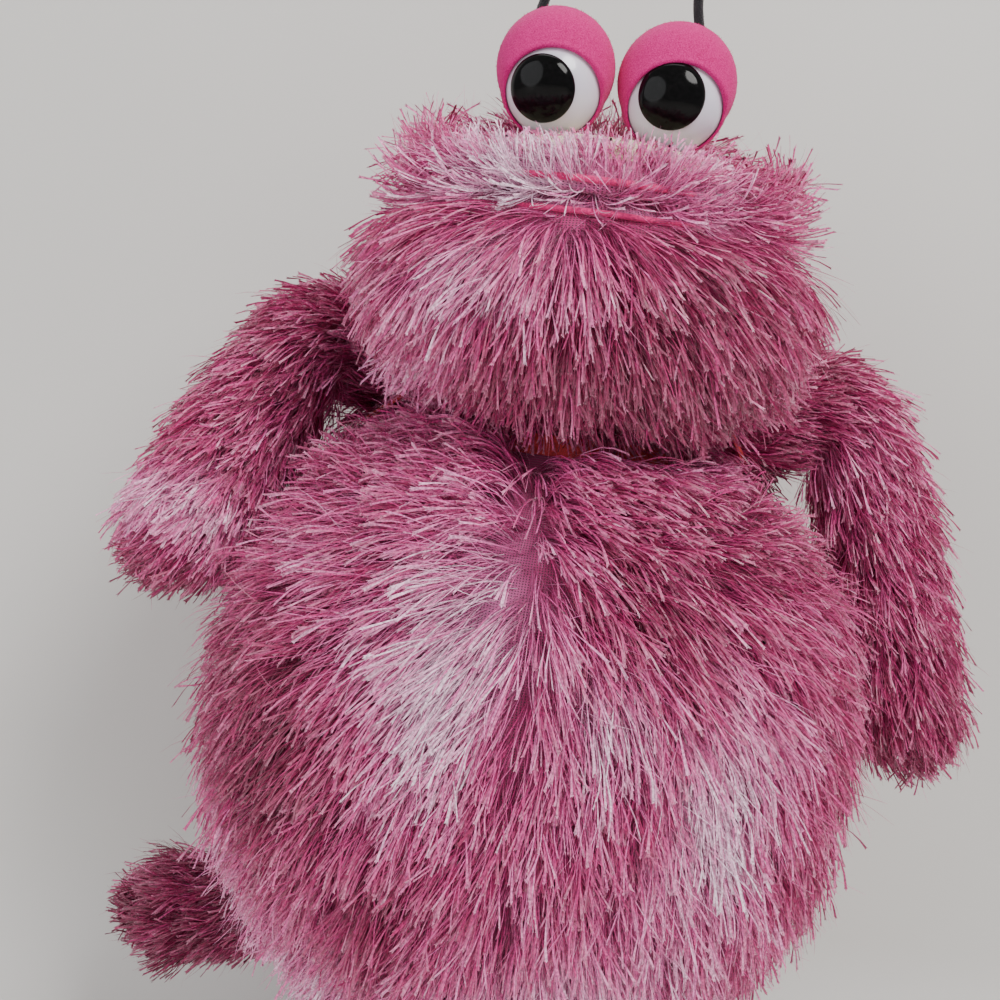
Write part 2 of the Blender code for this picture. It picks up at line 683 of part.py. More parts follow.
def build_limbs():
    for word, _ in SIDES:
        build_limb("arm", word, ARM_ROUTES[word], ARM_RADII, ARM_START)
        build_limb("leg", word, LEG_ROUTES[word], LEG_RADII, LEG_START)
        build_seam_tape(f"armhole_tape_{word}", ARM_ROUTES[word], ARM_RADII[0] - 1 * MM)


def remove_loose_cutters():
    for cutter in list(CUTTERS.objects):
        bpy.data.objects.remove(cutter, do_unlink=True)


clear_scene()
PUPPET = new_collection("moving_mouth_puppet")
CUTTERS = new_collection("cutters")
MATERIALS = {name: make_material(name) for name in COLOURS}
build_torso()
build_shoulders()
build_neck()
build_head_back()
build_upper_jaw()
build_lower_jaw()
build_eyes()
build_antennae()
build_limbs()
remove_loose_cutters()
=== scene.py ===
"""Looks of the furry moving-mouth hand puppet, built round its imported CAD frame. Metres, +Z up."""
import json
import math

import bmesh
import bpy
import numpy as np
from mathutils import Matrix, Vector


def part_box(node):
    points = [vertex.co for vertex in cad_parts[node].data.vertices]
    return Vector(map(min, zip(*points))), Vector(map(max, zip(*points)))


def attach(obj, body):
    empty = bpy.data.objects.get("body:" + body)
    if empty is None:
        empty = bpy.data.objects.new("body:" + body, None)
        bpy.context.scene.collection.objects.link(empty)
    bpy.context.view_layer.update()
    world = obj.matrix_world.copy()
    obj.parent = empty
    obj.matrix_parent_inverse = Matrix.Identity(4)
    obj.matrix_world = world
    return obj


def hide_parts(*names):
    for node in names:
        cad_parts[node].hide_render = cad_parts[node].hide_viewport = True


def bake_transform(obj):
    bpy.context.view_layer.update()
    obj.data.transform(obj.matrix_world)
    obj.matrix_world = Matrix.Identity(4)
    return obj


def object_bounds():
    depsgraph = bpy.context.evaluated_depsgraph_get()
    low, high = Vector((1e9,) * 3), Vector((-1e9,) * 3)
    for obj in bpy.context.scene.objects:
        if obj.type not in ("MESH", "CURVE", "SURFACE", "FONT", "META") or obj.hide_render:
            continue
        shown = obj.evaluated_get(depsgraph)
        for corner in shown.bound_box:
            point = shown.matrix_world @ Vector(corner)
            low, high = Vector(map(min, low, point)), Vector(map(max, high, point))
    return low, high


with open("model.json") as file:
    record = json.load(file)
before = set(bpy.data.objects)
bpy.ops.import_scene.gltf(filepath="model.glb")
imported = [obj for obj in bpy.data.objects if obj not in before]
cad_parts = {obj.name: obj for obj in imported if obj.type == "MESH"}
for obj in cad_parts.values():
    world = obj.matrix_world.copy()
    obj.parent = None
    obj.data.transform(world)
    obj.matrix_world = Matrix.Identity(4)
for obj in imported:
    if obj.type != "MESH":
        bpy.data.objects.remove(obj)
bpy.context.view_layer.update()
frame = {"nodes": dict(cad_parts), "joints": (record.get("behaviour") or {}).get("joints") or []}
MM = 0.001
SIDES = (("left", 1), ("right", -1))
TORSO_DEPTH = 0.76             # how deep the torso is against its width

LID_R = 19.3 * MM
LID_RISE = 5 * MM              # the hood's middle is above the ball's
LID_TILT = 50                  # degrees the hood's opening is turned from straight down to forward
LID_EDGE = 17                  # degrees above the hood's middle where the opening's top edge crosses
LID_INNER_ROWS, LID_RIM_ROWS = 14, 7
PUPIL_REACH = math.asin(10.6 / 16.8)

FINE_PILE = {"spread": 3 * MM, "gather": 0.1, "frayed": False, "bright": 1.1}
FLOCK_PILE = {"lift": 1.0, "gather": 0, "frayed": False, "sag": 0}

CAMERA_LENS = 47.0
CAMERA_TARGET = (-20 * MM, -20 * MM, 186 * MM)
CAMERA_DISTANCE = 0.452
CAMERA_ELEVATION, CAMERA_ROLL = math.radians(5), math.radians(7.3)

# Colours of the dyed yarn, linear RGB, from the deepest to the palest.
YARN = np.array([(0.17, 0.003, 0.040), (0.38, 0.010, 0.105), (0.62, 0.042, 0.24),
                 (0.84, 0.20, 0.50), (0.96, 0.70, 0.86)])
YARN_TIP = np.array([0.96, 0.72, 0.83])
LID_PINK = (0.63, 0.025, 0.19, 1)
FELT_PINK = (0.74, 0.028, 0.20, 1)
CORAL = (0.62, 0.045, 0.055, 1)


# Middle lines of the limbs from joint to tip, mm.
LIMB_ROUTES = {
    "arm_left": ((63, 46, 216), (84, 47, 229), (105, 47, 231), (122, 44, 205), (136, 38, 162),
                 (147, 30, 112)),
    "arm_right": ((-63, 46, 216), (-79, 43, 232), (-95, 34, 233), (-110, 17, 210), (-122, 0, 182),
                  (-131, -9, 154)),
    "leg_left": ((62, 44, 18), (70, 46, -12), (76, 47, -36), (80, 48, -58)),
    "leg_right": ((-62, 44, 18), (-88, 46, 8), (-114, 47, 1), (-138, 48, -1)),
}


# ---------------------------------------------------------------- materials

def new_material(name, roughness, colour=None, **sockets):
    """A Principled material; sockets are extra input values by name, with _ for a space."""
    material = bpy.data.materials.new(name)
    material.use_nodes = True
    shader = material.node_tree.nodes["Principled BSDF"]
    shader.inputs["Roughness"].default_value = roughness
    if colour is not None:
        shader.inputs["Base Color"].default_value = colour
    for key, value in sockets.items():
        shader.inputs[key.replace("_", " ")].default_value = value
    return material


def node(material, kind, **values):
    made = material.node_tree.nodes.new(kind)
    for key, value in values.items():
        if key in made.inputs:
            made.inputs[key].default_value = value
        else:
            setattr(made, key, value)
    return made


def wire(material, source, target):
    material.node_tree.links.new(source, target)


def shader_of(material):
    return material.node_tree.nodes["Principled BSDF"]


def add_bump(material, height, strength, distance):
    bump = node(material, "ShaderNodeBump", Strength=strength, Distance=distance)
    wire(material, height, bump.inputs["Height"])
    wire(material, bump.outputs["Normal"], shader_of(material).inputs["Normal"])


def noise(material, scale, detail=3.0):
    """Object-space noise; scale is in features per metre."""
    place = node(material, "ShaderNodeTexCoord")
    texture = node(material, "ShaderNodeTexNoise", Scale=scale, Detail=detail)
    wire(material, place.outputs["Object"], texture.inputs["Vector"])
    return texture.outputs["Fac"]


def ramp_colour(material, value, low, high, low_at=0.35, high_at=0.65):
    ramp = node(material, "ShaderNodeValToRGB")
    ramp.color_ramp.elements[0].color = low
    ramp.color_ramp.elements[0].position = low_at
    ramp.color_ramp.elements[1].color = high
    ramp.color_ramp.elements[1].position = high_at
    wire(material, value, ramp.inputs["Fac"])
    wire(material, ramp.outputs["Color"], shader_of(material).inputs["Base Color"])
    return ramp


def mottled(name, colour, roughness, scale, bump, spread=0.25, **sockets):
    """A plain material whose colour and surface vary slightly, for felt, tape, foam and lining."""
    material = new_material(name, roughness, **sockets)
    dark = tuple(c * (1 - spread) for c in colour[:3]) + (1,)
    light = tuple(min(c * (1 + spread), 1) for c in colour[:3]) + (1,)
    grain = noise(material, scale)
    ramp_colour(material, grain, dark, light)
    add_bump(material, grain, 0.6, bump)
    return material


def yarn_material():
    """Twisted shiny filaments with painted glints: each strand's colour turns lighter and darker in small
    beads along it.
    """
    material = new_material("eyelash_yarn", 0.40, Sheen_Weight=0.25, Sheen_Roughness=0.4,
                            Specular_IOR_Level=0.7)
    tint = node(material, "ShaderNodeAttribute", attribute_name="yarn")
    # painted highlight: fine noise makes each strand's colour lighter and darker along it, as glints on its
    # twisted filaments
    painted_glints = node(material, "ShaderNodeMapRange")
    for socket, value in (("From Min", 0.34), ("From Max", 0.66), ("To Min", 0.62), ("To Max", 1.42)):
        painted_glints.inputs[socket].default_value = value
    wire(material, noise(material, 1100, 2), painted_glints.inputs["Value"])
    shade = node(material, "ShaderNodeMix", data_type="RGBA", blend_type="MULTIPLY")
    shade.inputs[0].default_value = 1.0
    wire(material, tint.outputs["Color"], shade.inputs[6])
    wire(material, painted_glints.outputs["Result"], shade.inputs[7])
    wire(material, shade.outputs[2], shader_of(material).inputs["Base Color"])
    return material


def knit_material():
    """Open knitted backing: rows of small dark holes between shiny loops, dyed like the pile."""
    material = new_material("knitted_backing", 0.7, Sheen_Weight=0.3)
    uv = node(material, "ShaderNodeUVMap", uv_map="weave")
    split = node(material, "ShaderNodeSeparateXYZ")
    wire(material, uv.outputs["UV"], split.inputs["Vector"])

    def waves(socket, period):
        scaled = node(material, "ShaderNodeMath", operation="MULTIPLY")
        scaled.inputs[1].default_value = math.pi / period
        wire(material, split.outputs[socket], scaled.inputs[0])
        sine = node(material, "ShaderNodeMath", operation="SINE")
        wire(material, scaled.outputs[0], sine.inputs[0])
        return sine.outputs[0]

    product = node(material, "ShaderNodeMath", operation="MULTIPLY")
    wire(material, waves("X", 1.05 * MM), product.inputs[0])
    wire(material, waves("Y", 0.85 * MM), product.inputs[1])
    size = node(material, "ShaderNodeMath", operation="ABSOLUTE")
    wire(material, product.outputs[0], size.inputs[0])
    loops = node(material, "ShaderNodeMapRange")
    loops.inputs["From Min"].default_value = 0.62
    loops.inputs["From Max"].default_value = 0.92
    loops.inputs["To Min"].default_value = 1.0
    loops.inputs["To Max"].default_value = 0.12
    wire(material, size.outputs[0], loops.inputs["Value"])
    tint = node(material, "ShaderNodeAttribute", attribute_name="yarn")
    shade = node(material, "ShaderNodeMix", data_type="RGBA", blend_type="MULTIPLY")
    shade.inputs[0].default_value = 1.0
    wire(material, tint.outputs["Color"], shade.inputs[6])
    wire(material, loops.outputs["Result"], shade.inputs[7])
    wire(material, shade.outputs[2], shader_of(material).inputs["Base Color"])
    add_bump(material, loops.outputs["Result"], 0.9, 0.5 * MM)
    return material


def flock_material():
    material = new_material("flocked_pink", 0.95, Sheen_Weight=0.12, Sheen_Roughness=0.35,
                            Specular_IOR_Level=0.1)
    grain = noise(material, 2600, 4)
    ramp_colour(material, grain, (0.50, 0.008, 0.14, 1), (0.80, 0.035, 0.29, 1), 0.3, 0.7)
    add_bump(material, grain, 1.0, 0.35 * MM)
    return material


def eye_white_material():
    material = new_material("eye_white", 0.22, Coat_Weight=0.35, Coat_Roughness=0.12,
                            Subsurface_Weight=0.25, Subsurface_Scale=4 * MM)
    shader_of(material).inputs["Subsurface Radius"].default_value = (1.0, 0.8, 1.0)
    haze = noise(material, 60, 2)
    ramp_colour(material, haze, (0.74, 0.71, 0.84, 1), (0.82, 0.80, 0.90, 1))
    return material


def pupil_material():
    material = new_material("pupil_black", 0.10, Specular_IOR_Level=0.16)
    scuffs = noise(material, 900, 5)
    ramp_colour(material, scuffs, (0.0015, 0.0015, 0.0015, 1), (0.005, 0.0045, 0.005, 1), 0.4, 0.8)
    return material


def velvet_material():
    material = new_material("black_velvet", 0.9, Sheen_Weight=0.35, Sheen_Roughness=0.5,
                            Specular_IOR_Level=0.2)
    grain = noise(material, 3000, 4)
    ramp_colour(material, grain, (0.002, 0.002, 0.003, 1), (0.020, 0.017, 0.022, 1))
    add_bump(material, grain, 1.0, 0.3 * MM)
    return material


# ------------------------------------------------------------ base surfaces

def smooth_noise(points, period, seed):
    """Soft noise between -1 and 1 at each point, as a sum of slanted waves."""
    rng = np.random.default_rng(seed)
    total = np.zeros(len(points))
    for _ in range(7):
        direction = rng.normal(size=3)
        direction *= 2 * np.pi / (period * rng.uniform(0.6, 1.6)) / np.linalg.norm(direction)
        total += np.sin(points @ direction + rng.uniform(0, 2 * np.pi))
    return total / 3.2


def unit(vectors):
    return vectors / np.maximum(np.linalg.norm(vectors, axis=-1, keepdims=True), 1e-9)


def rolled_edge(grid, at_start, steps):
    """Add rows that curl a grid's first or last row inwards; steps are (inwards, up) in metres."""
    edge = grid[0] if at_start else grid[-1]
    centre = edge.mean(0)
    inward = centre - edge
    inward[:, 2] = 0
    inward = unit(inward)
    rows = [edge + inward * across + np.array([0, 0, up]) for across, up in steps]
    if at_start:
        return np.concatenate([np.array(rows[::-1]), grid])
    return np.concatenate([grid, np.array(rows)])


class Skin:
    """A backing surface: a grid of points, closed round its columns."""

    def __init__(self, grid, closed=True):
        rows, columns = grid.shape[:2]
        self.rows, self.columns = rows, columns
        self.points = grid.reshape(-1, 3)
        last = columns if closed else columns - 1
        a = (np.arange(rows - 1)[:, None] * columns + np.arange(last)).ravel()
        b = (np.arange(rows - 1)[:, None] * columns + (np.arange(last) + 1) % columns).ravel()
        self.quads = np.stack([a, b, b + columns, a + columns], 1)
        corners = self.points[self.quads]
        face_normals = np.cross(corners[:, 2] - corners[:, 0], corners[:, 3] - corners[:, 1])
        outward = corners.mean(1) - self.points.mean(0)
        if (face_normals * outward).sum() < 0:
            self.quads = self.quads[:, ::-1]
            face_normals = -face_normals
        self.areas = np.linalg.norm(face_normals, axis=1) / 2
        normals = np.zeros_like(self.points)
        for corner in range(4):
            np.add.at(normals, self.quads[:, corner], face_normals)
        self.normals = unit(normals)
        step_u = np.linalg.norm(np.diff(grid, axis=1, append=grid[:, :1]), axis=2)
        step_v = np.linalg.norm(np.diff(grid, axis=0, prepend=grid[:1]), axis=2)
        middle = step_u[rows // 2]
        self.u = np.tile(np.concatenate([[0], np.cumsum(middle)[:-1]]), (rows, 1)).ravel()
        self.v = np.cumsum(step_v, axis=0).ravel()

    def sample(self, count, rng):
        """Random points, spread by area, with their normals."""
        quad = self.quads[rng.choice(len(self.quads), count, p=self.areas / self.areas.sum())]
        s, t = rng.random((2, count, 1))
        weights = ((1 - s) * (1 - t), s * (1 - t), s * t, (1 - s) * t)
        places = sum(w * self.points[quad[:, i]] for i, w in enumerate(weights))
        normals = sum(w * self.normals[quad[:, i]] for i, w in enumerate(weights))
        return places, unit(normals)

    def mesh(self, name, colour_of, material):
        mesh = bpy.data.meshes.new(name)
        mesh.from_pydata(self.points.tolist(), [], self.quads.tolist())
        mesh.shade_smooth()
        layer = mesh.uv_layers.new(name="weave")
        uv = np.stack([self.u, self.v], 1)[self.quads.ravel()]
        layer.data.foreach_set("uv", uv.astype(np.float32).ravel())
        tint = mesh.color_attributes.new(name="yarn", type="FLOAT_COLOR", domain="POINT")
        rgba = np.ones((len(self.points), 4), np.float32)
        rgba[:, :3] = colour_of(self.points)
        tint.data.foreach_set("color", rgba.ravel())
        mesh.materials.append(material)
        obj = bpy.data.objects.new(name, mesh)
        bpy.context.scene.collection.objects.link(obj)
        return obj


def curve_through(points, pieces=6):
    """Points on a Catmull-Rom curve through the given ones."""
    points = np.array(points, float)
    padded = np.vstack([2 * points[0] - points[1], points, 2 * points[-1] - points[-2]])
    result = []
    for a, b, c, d in zip(padded, padded[1:], padded[2:], padded[3:]):
        for t in np.arange(pieces) / pieces:
            result.append(0.5 * (2 * b + (c - a) * t + (2 * a - 5 * b + 4 * c - d) * t ** 2
                                 + (3 * b - a - 3 * c + d) * t ** 3))
    return np.array(result + [points[-1]])


def inset_curve(curve, inset):
    along = np.gradient(curve, axis=0)
    outward = unit(np.stack([-along[:, 1], along[:, 0]], 1))
    return curve - outward * inset


def lathe_grid(curve, depth=1.0, columns=96):
    turn = np.linspace(0, 2 * np.pi, columns, endpoint=False)
    radius, height = curve[:, 0][:, None], curve[:, 1][:, None]
    return np.stack([radius * np.cos(turn), radius * np.sin(turn) * depth,
                     np.broadcast_to(height, (len(curve), columns))], 2)


def rounded_grid(centre, radii, low, high, rows=40, columns=96, power=2.4):
    """The band of a boxy ellipsoid between two latitudes, in degrees."""
    latitude = np.radians(np.linspace(low, high, rows))[:, None]
    turn = np.linspace(0, 2 * np.pi, columns, endpoint=False)[None, :]
    ball = np.stack([np.cos(latitude) * np.cos(turn), np.cos(latitude) * np.sin(turn),
                     np.sin(latitude) + 0 * turn], 2)
    norm = (np.abs(ball) ** power).sum(2, keepdims=True) ** (1 / power)
    return np.array(centre) + ball / norm * np.array(radii)


# --------------------------------------------------------------------- fur

def yarn_colour(level):
    """Dye colour for a level from 0, deep magenta, to 1, nearly white."""
    place = np.clip(level, 0, 0.9999) * (len(YARN) - 1)
    index = place.astype(int)
    share = (place - index)[:, None]
    return YARN[index] * (1 - share) + YARN[index + 1] * share


def patch(points, x, z, half_x, half_z, lean=0.0):
    """How far inside a soft oval dye patch each point lies, seen from the front; 1 at its middle."""
    dx, dz = points[:, 0] - x * MM, points[:, 2] - z * MM
    dx = dx - lean * dz
    return np.exp(-((dx / (half_x * MM)) ** 2 + (dz / (half_z * MM)) ** 2))


def blended_level(points, base, patches, seed):
    level = base + 0.13 * smooth_noise(points, 60 * MM, seed) + 0.07 * smooth_noise(points, 22 * MM, seed + 1)
    front = 1 / (1 + np.exp((points[:, 1] - 5 * MM) / (12 * MM)))
    for value, *shape in patches:
        share = patch(points, *shape) * front
        level = level * (1 - share) + value * share
    return level


def torso_level(points):
    return blended_level(points, 0.50, (
        (1.0, -23, 138, 15, 42, 0.23), (0.95, 19, 134, 13, 19), (1.0, 53, 112, 16, 38),
        (0.92, 23, 48, 36, 25), (0.92, -94, 36, 18, 38), (0.85, -50, 30, 22, 20),
        (0.15, -72, 112, 26, 34), (0.34, 50, 181, 36, 22), (0.55, 3, 88, 8, 36),
        (0.36, 94, 128, 11, 30), (0.24, -36, 66, 12, 24), (0.48, -54, 190, 34, 11)), 11)


def jowl_level(points):
    return blended_level(points, 0.32, (
        (0.90, -28, 266, 26, 9, 1.0), (0.84, -50, 242, 17, 11, 1.0), (0.95, 52, 222, 17, 9),
        (0.25, 4, 240, 22, 18), (0.28, -70, 268, 12, 12), (0.34, 40, 262, 28, 12),
        (0.86, 6, 283, 46, 3.5)), 23)


def upper_level(points):
    return blended_level(points, 0.36, ((1.0, -22, 288, 32, 12), (0.72, 26, 290, 22, 10)), 31)


def back_level(points):
    return blended_level(points, 0.42, (), 41)


def arm_level_left(points):
    return blended_level(points, 0.40, ((1.0, 150, 178, 14, 50), (0.16, 140, 122, 14, 12)), 51)


def arm_level_right(points):
    return blended_level(points, 0.36, ((0.95, -124, 178, 22, 14), (0.10, -130, 152, 18, 10)), 61)


# The deepest base level: for the legs, and as painted shade for the shoulder and neck pile.
def leg_level(points):
    return blended_level(points, 0.24, (), 71)


def cells(count, total_columns):
    """A small square of the bake map for each strand."""
    index = np.arange(count)
    return np.stack([index % total_columns, index // total_columns], 1) / total_columns


def strand_mesh(name, centres, half_widths, sides, colours, spikes, material):
    """Flat ribbons along the given centre lines, each ending in a few loose filament tips.

    centres is strands x points x 3, half_widths strands x points, sides strands x points x 3,
    colours strands x points x 3, spikes strands x 3 x 3 tip points (or None).
    """
    strands, points = centres.shape[:2]
    offset = sides * half_widths[:, :, None]
    left, right = centres - offset, centres + offset
    rings = np.stack([left, right], 2).reshape(strands, points * 2, 3)
    per = points * 2
    verts = rings
    ring_colours = np.repeat(colours, 2, axis=1)
    start = np.arange(points - 1) * 2
    quads = np.stack([start, start + 1, start + 3, start + 2], 1)
    triangles = np.zeros((0, 3), int)
    if spikes is not None:
        verts = np.concatenate([rings, spikes], 1)
        tip_colour = np.repeat(colours[:, -1:] * 0.8 + 0.2 * YARN_TIP, 3, axis=1)
        ring_colours = np.concatenate([ring_colours, tip_colour], 1)
        a, b = per - 2, per - 1
        triangles = np.array([(a, b, per), (a, b, per + 1), (a, b, per + 2)])
        per += 3
    base = (np.arange(strands) * per)[:, None, None]
    quads = (quads[None] + base).reshape(-1, 4)
    triangles = (triangles[None] + base).reshape(-1, 3)

    mesh = bpy.data.meshes.new(name)
    flat = verts.reshape(-1, 3).astype(np.float32)
    mesh.vertices.add(len(flat))
    mesh.vertices.foreach_set("co", flat.ravel())
    loops = np.concatenate([quads.ravel(), triangles.ravel()]).astype(np.int32)
    mesh.loops.add(len(loops))
    mesh.loops.foreach_set("vertex_index", loops)
    starts = np.concatenate([np.arange(len(quads)) * 4, len(quads) * 4 + np.arange(len(triangles)) * 3])
    mesh.polygons.add(len(starts))
    mesh.polygons.foreach_set("loop_start", starts.astype(np.int32))
    mesh.update(calc_edges=True)
    mesh.shade_smooth()

    tint = mesh.color_attributes.new(name="yarn", type="FLOAT_COLOR", domain="POINT")
    rgba = np.ones((len(flat), 4), np.float32)
    rgba[:, :3] = ring_colours.reshape(-1, 3)
    tint.data.foreach_set("color", rgba.ravel())

    columns = int(np.ceil(np.sqrt(strands)))
    along = np.repeat(np.linspace(0.15, 0.75, points), 2)
    across = np.tile([0.3, 0.7], points)
    if spikes is not None:
        along = np.concatenate([along, [0.88, 0.88, 0.88]])
        across = np.concatenate([across, [0.35, 0.5, 0.65]])
    corner = cells(strands, columns)[:, None, :]
    uv = (corner + np.stack([across, along], 1)[None] / columns).reshape(-1, 2)
    layer = mesh.uv_layers.new(name="OFBake")
    layer.data.foreach_set("uv", uv[loops].astype(np.float32).ravel())

    mesh.materials.append(material)
    obj = bpy.data.objects.new(name, mesh)
    bpy.context.scene.collection.objects.link(obj)
    return obj


def grow(name, skin, material, tufts, per_tuft, flow, level_of, length, seed,
         lift=0.62, wanted=None, sag=0.16, width=0.38 * MM, spread=2.2 * MM, gather=0.4,
         stray=0.16, frayed=True, bright=1.0):
    """Cover a skin with tufts of strands.

    flow(points, normals) is the combing direction, level_of(points) the dye level, length a number
    or a function of the points, wanted(points, normals) the chance from 0 to 1 of a tuft there.
    """
    rng = np.random.default_rng(seed)
    roots, normals = skin.sample(tufts, rng)
    if wanted is not None:
        kept = rng.random(len(roots)) < wanted(roots, normals)
        roots, normals = roots[kept], normals[kept]
    count = len(roots)
    combed = flow(roots, normals)
    combed = combed - (combed * normals).sum(1, keepdims=True) * normals
    combed = unit(combed + rng.normal(scale=0.16, size=combed.shape))
    cross = np.cross(normals, combed)
    swing = rng.normal(scale=0.16, size=(count, 1))
    combed = unit(combed + cross * swing)
    tall = length(roots) if callable(length) else np.full(count, length)
    tall = tall * rng.uniform(0.72, 1.1, count)
    lifts = np.clip((lift(roots) if callable(lift) else np.full(count, lift))
                    + rng.normal(scale=0.13, size=count), 0.12, 1.3)
    level = level_of(roots) + rng.normal(scale=0.05, size=count)

    which = np.repeat(np.arange(count), per_tuft)
    total = len(which)
    angle, reach = rng.uniform(0, 2 * np.pi, total), spread * np.sqrt(rng.random(total))
    shift = (combed[which] * (np.cos(angle) * reach)[:, None]
             + np.cross(normals, combed)[which] * (np.sin(angle) * reach)[:, None])
    tall = tall[which] * rng.uniform(0.82, 1.08, total)
    lifts = lifts[which] * rng.uniform(0.85, 1.15, total)
    n, f = normals[which], combed[which]
    f = unit(f + rng.normal(scale=stray, size=f.shape))
    t = np.array([0, 0.24, 0.48, 0.70, 0.86, 1.0])[None, :, None]
    down = np.array([0, 0, -1.0])
    rise = lifts[:, None, None] * (1.5 * t - 0.75 * t ** 2)
    run = 0.7 * t + 0.3 * t ** 2
    arc = n[:, None] * rise + f[:, None] * run + down * sag * t ** 2
    size = np.linalg.norm(np.diff(arc, axis=1), axis=2).sum(1)[:, None, None]
    wobble = np.cross(n, f)[:, None] * np.sin(
        t * rng.uniform(2, 5, (total, 1, 1)) + rng.uniform(0, 6, (total, 1, 1))) * t * 0.07
    arc = (arc / size + wobble) * tall[:, None, None]
    centres = (roots[which] - n * 0.4 * MM)[:, None] + shift[:, None] * (1 - gather * t) + arc

    along = unit(np.gradient(centres, axis=1))
    facing = unit(np.cross(along, unit(rng.normal(size=(total, 1, 3)))))
    other = np.cross(along, facing)
    twist = rng.uniform(-1.2, 1.2, (total, 1, 1)) * t
    sides = facing * np.cos(twist) + other * np.sin(twist)
    if frayed:
        brush = np.array([0, 0, 0, 0.05, 0.8, 1.3]) * rng.uniform(0.0, 1.15, (total, 1))
        shape = np.array([0.8, 0.85, 0.9, 0.95, 1.0, 1.05]) + brush
    else:
        shape = np.array([0.8, 0.9, 0.9, 0.8, 0.6, 0.2])[None]
    half = width / 2 * shape * rng.uniform(0.8, 1.2, (total, 1))

    level = level[which] + rng.normal(scale=0.085, size=total)
    tint = yarn_colour(level) * bright
    # painted shade: each strand is darkened towards crimson at its root and reaches its dye colour about two
    # thirds up, for the shade deep in the pile
    dark = tint * np.array([0.50, 0.42, 0.46])
    out_of_root_shade = np.array([0.0, 0.45, 0.8, 1.0, 1.0, 1.0])[None, :, None]
    colours = dark[:, None] * (1 - out_of_root_shade) + tint[:, None] * out_of_root_shade
    whiten = (rng.uniform(0.0, 0.5, (total, 1, 1)) * np.clip(level + 0.15, 0.1, 1)[:, None, None]
              * np.array([0, 0, 0, 0.05, 0.5, 0.9])[None, :, None])
    colours = colours * (1 - whiten) + YARN_TIP * bright * whiten
    spikes = None
    if frayed:
        ends = centres[:, -1:] + along[:, -1:] * (tall[:, None, None] * 0.035)
        offset = np.array([-1.5, 0.1, 1.6])[None, :, None] * half[:, -1][:, None, None]
        stagger = along[:, -1:] * rng.uniform(-0.7, 0.7, (total, 3, 1)) * MM
        spikes = ends + sides[:, -1:] * offset + stagger
    return strand_mesh(name, centres, half, sides, np.clip(colours, 0, 1), spikes, material)


# ---------------------------------------------------------- combing fields

def torso_seam(points):
    """Where the front parting runs: it leans a little across the belly."""
    return (6.0 - (points[:, 2] / MM - 24) * 0.095) * MM


def torso_flow(points, normals):
    """Away from the parting and round the sides, level at the shoulders and steeper lower down."""
    off = points[:, 0] - torso_seam(points)
    side = np.tanh(off / (3 * MM))
    far = np.clip(np.abs(off) / (80 * MM), 0, 1)
    high = np.clip((points[:, 2] - 120 * MM) / (65 * MM), 0, 1)
    angle = np.radians(72 - 22 * far - 72 * high * (off < 0) - 40 * high * (off >= 0) + 10 * (off > 0))
    round_body = unit(np.stack([-points[:, 1] / 0.58, points[:, 0], 0 * side], 1))
    behind = 1 / (1 + np.exp(-(points[:, 1] - 20 * MM) / (8 * MM)))
    turn = np.cos(angle) * (1 - 0.8 * behind) * side
    return round_body * turn[:, None] + np.array([0, 0, -1.0]) * np.sin(angle)[:, None]


def from_mouth(x, z, drop):
    """Combed away from a point on the mouth line, and a little down."""
    def flow(points, normals):
        away = np.stack([points[:, 0] - x, 0.35 * (points[:, 1] + 75 * MM), points[:, 2] - z], 1)
        return unit(away) + np.array([0, 0, -drop])
    return flow


def upper_flow(points, normals):
    away = np.stack([points[:, 0] * 1.1, 0.25 * (points[:, 1] + 60 * MM),
                     np.full(len(points), 34 * MM)], 1)
    return unit(away)


def back_flow(points, normals):
    away = np.stack([points[:, 0] * 0.5, points[:, 1] * 0.4 + 6 * MM, 0 * points[:, 0] - 40 * MM], 1)
    return unit(away)


# ------------------------------------------------------------ the furry parts

def ride_all(objects, body):
    for obj in objects:
        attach(obj, body)


def comb_flat(obj, start, keep):
    """Lay the pile closer to the body in front and behind, where it would stand out too far."""
    points = np.zeros(len(obj.data.vertices) * 3, np.float32)
    obj.data.vertices.foreach_get("co", points)
    depth = points[1::3]
    over = np.maximum(0, np.abs(depth) - start)
    points[1::3] = depth - np.sign(depth) * over * (1 - keep)
    obj.data.vertices.foreach_set("co", points)
    obj.data.update()


def torso_skin():
    half_width, _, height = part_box("torso_front_skin")[1]
    outline = np.array([(0.449, 1.0), (0.673, 0.969), (0.860, 0.867), (0.963, 0.724), (1.0, 0.551),
                        (0.963, 0.378), (0.841, 0.224), (0.664, 0.102), (0.523, 0.0)])
    curve = inset_curve(curve_through(outline * (half_width, height)), 1 * MM)
    collar = np.array([(47 * MM, 204 * MM), (50 * MM, 199 * MM), (58 * MM, 195.5 * MM)])
    return Skin(lathe_grid(np.vstack([collar, curve[5:]]), TORSO_DEPTH))


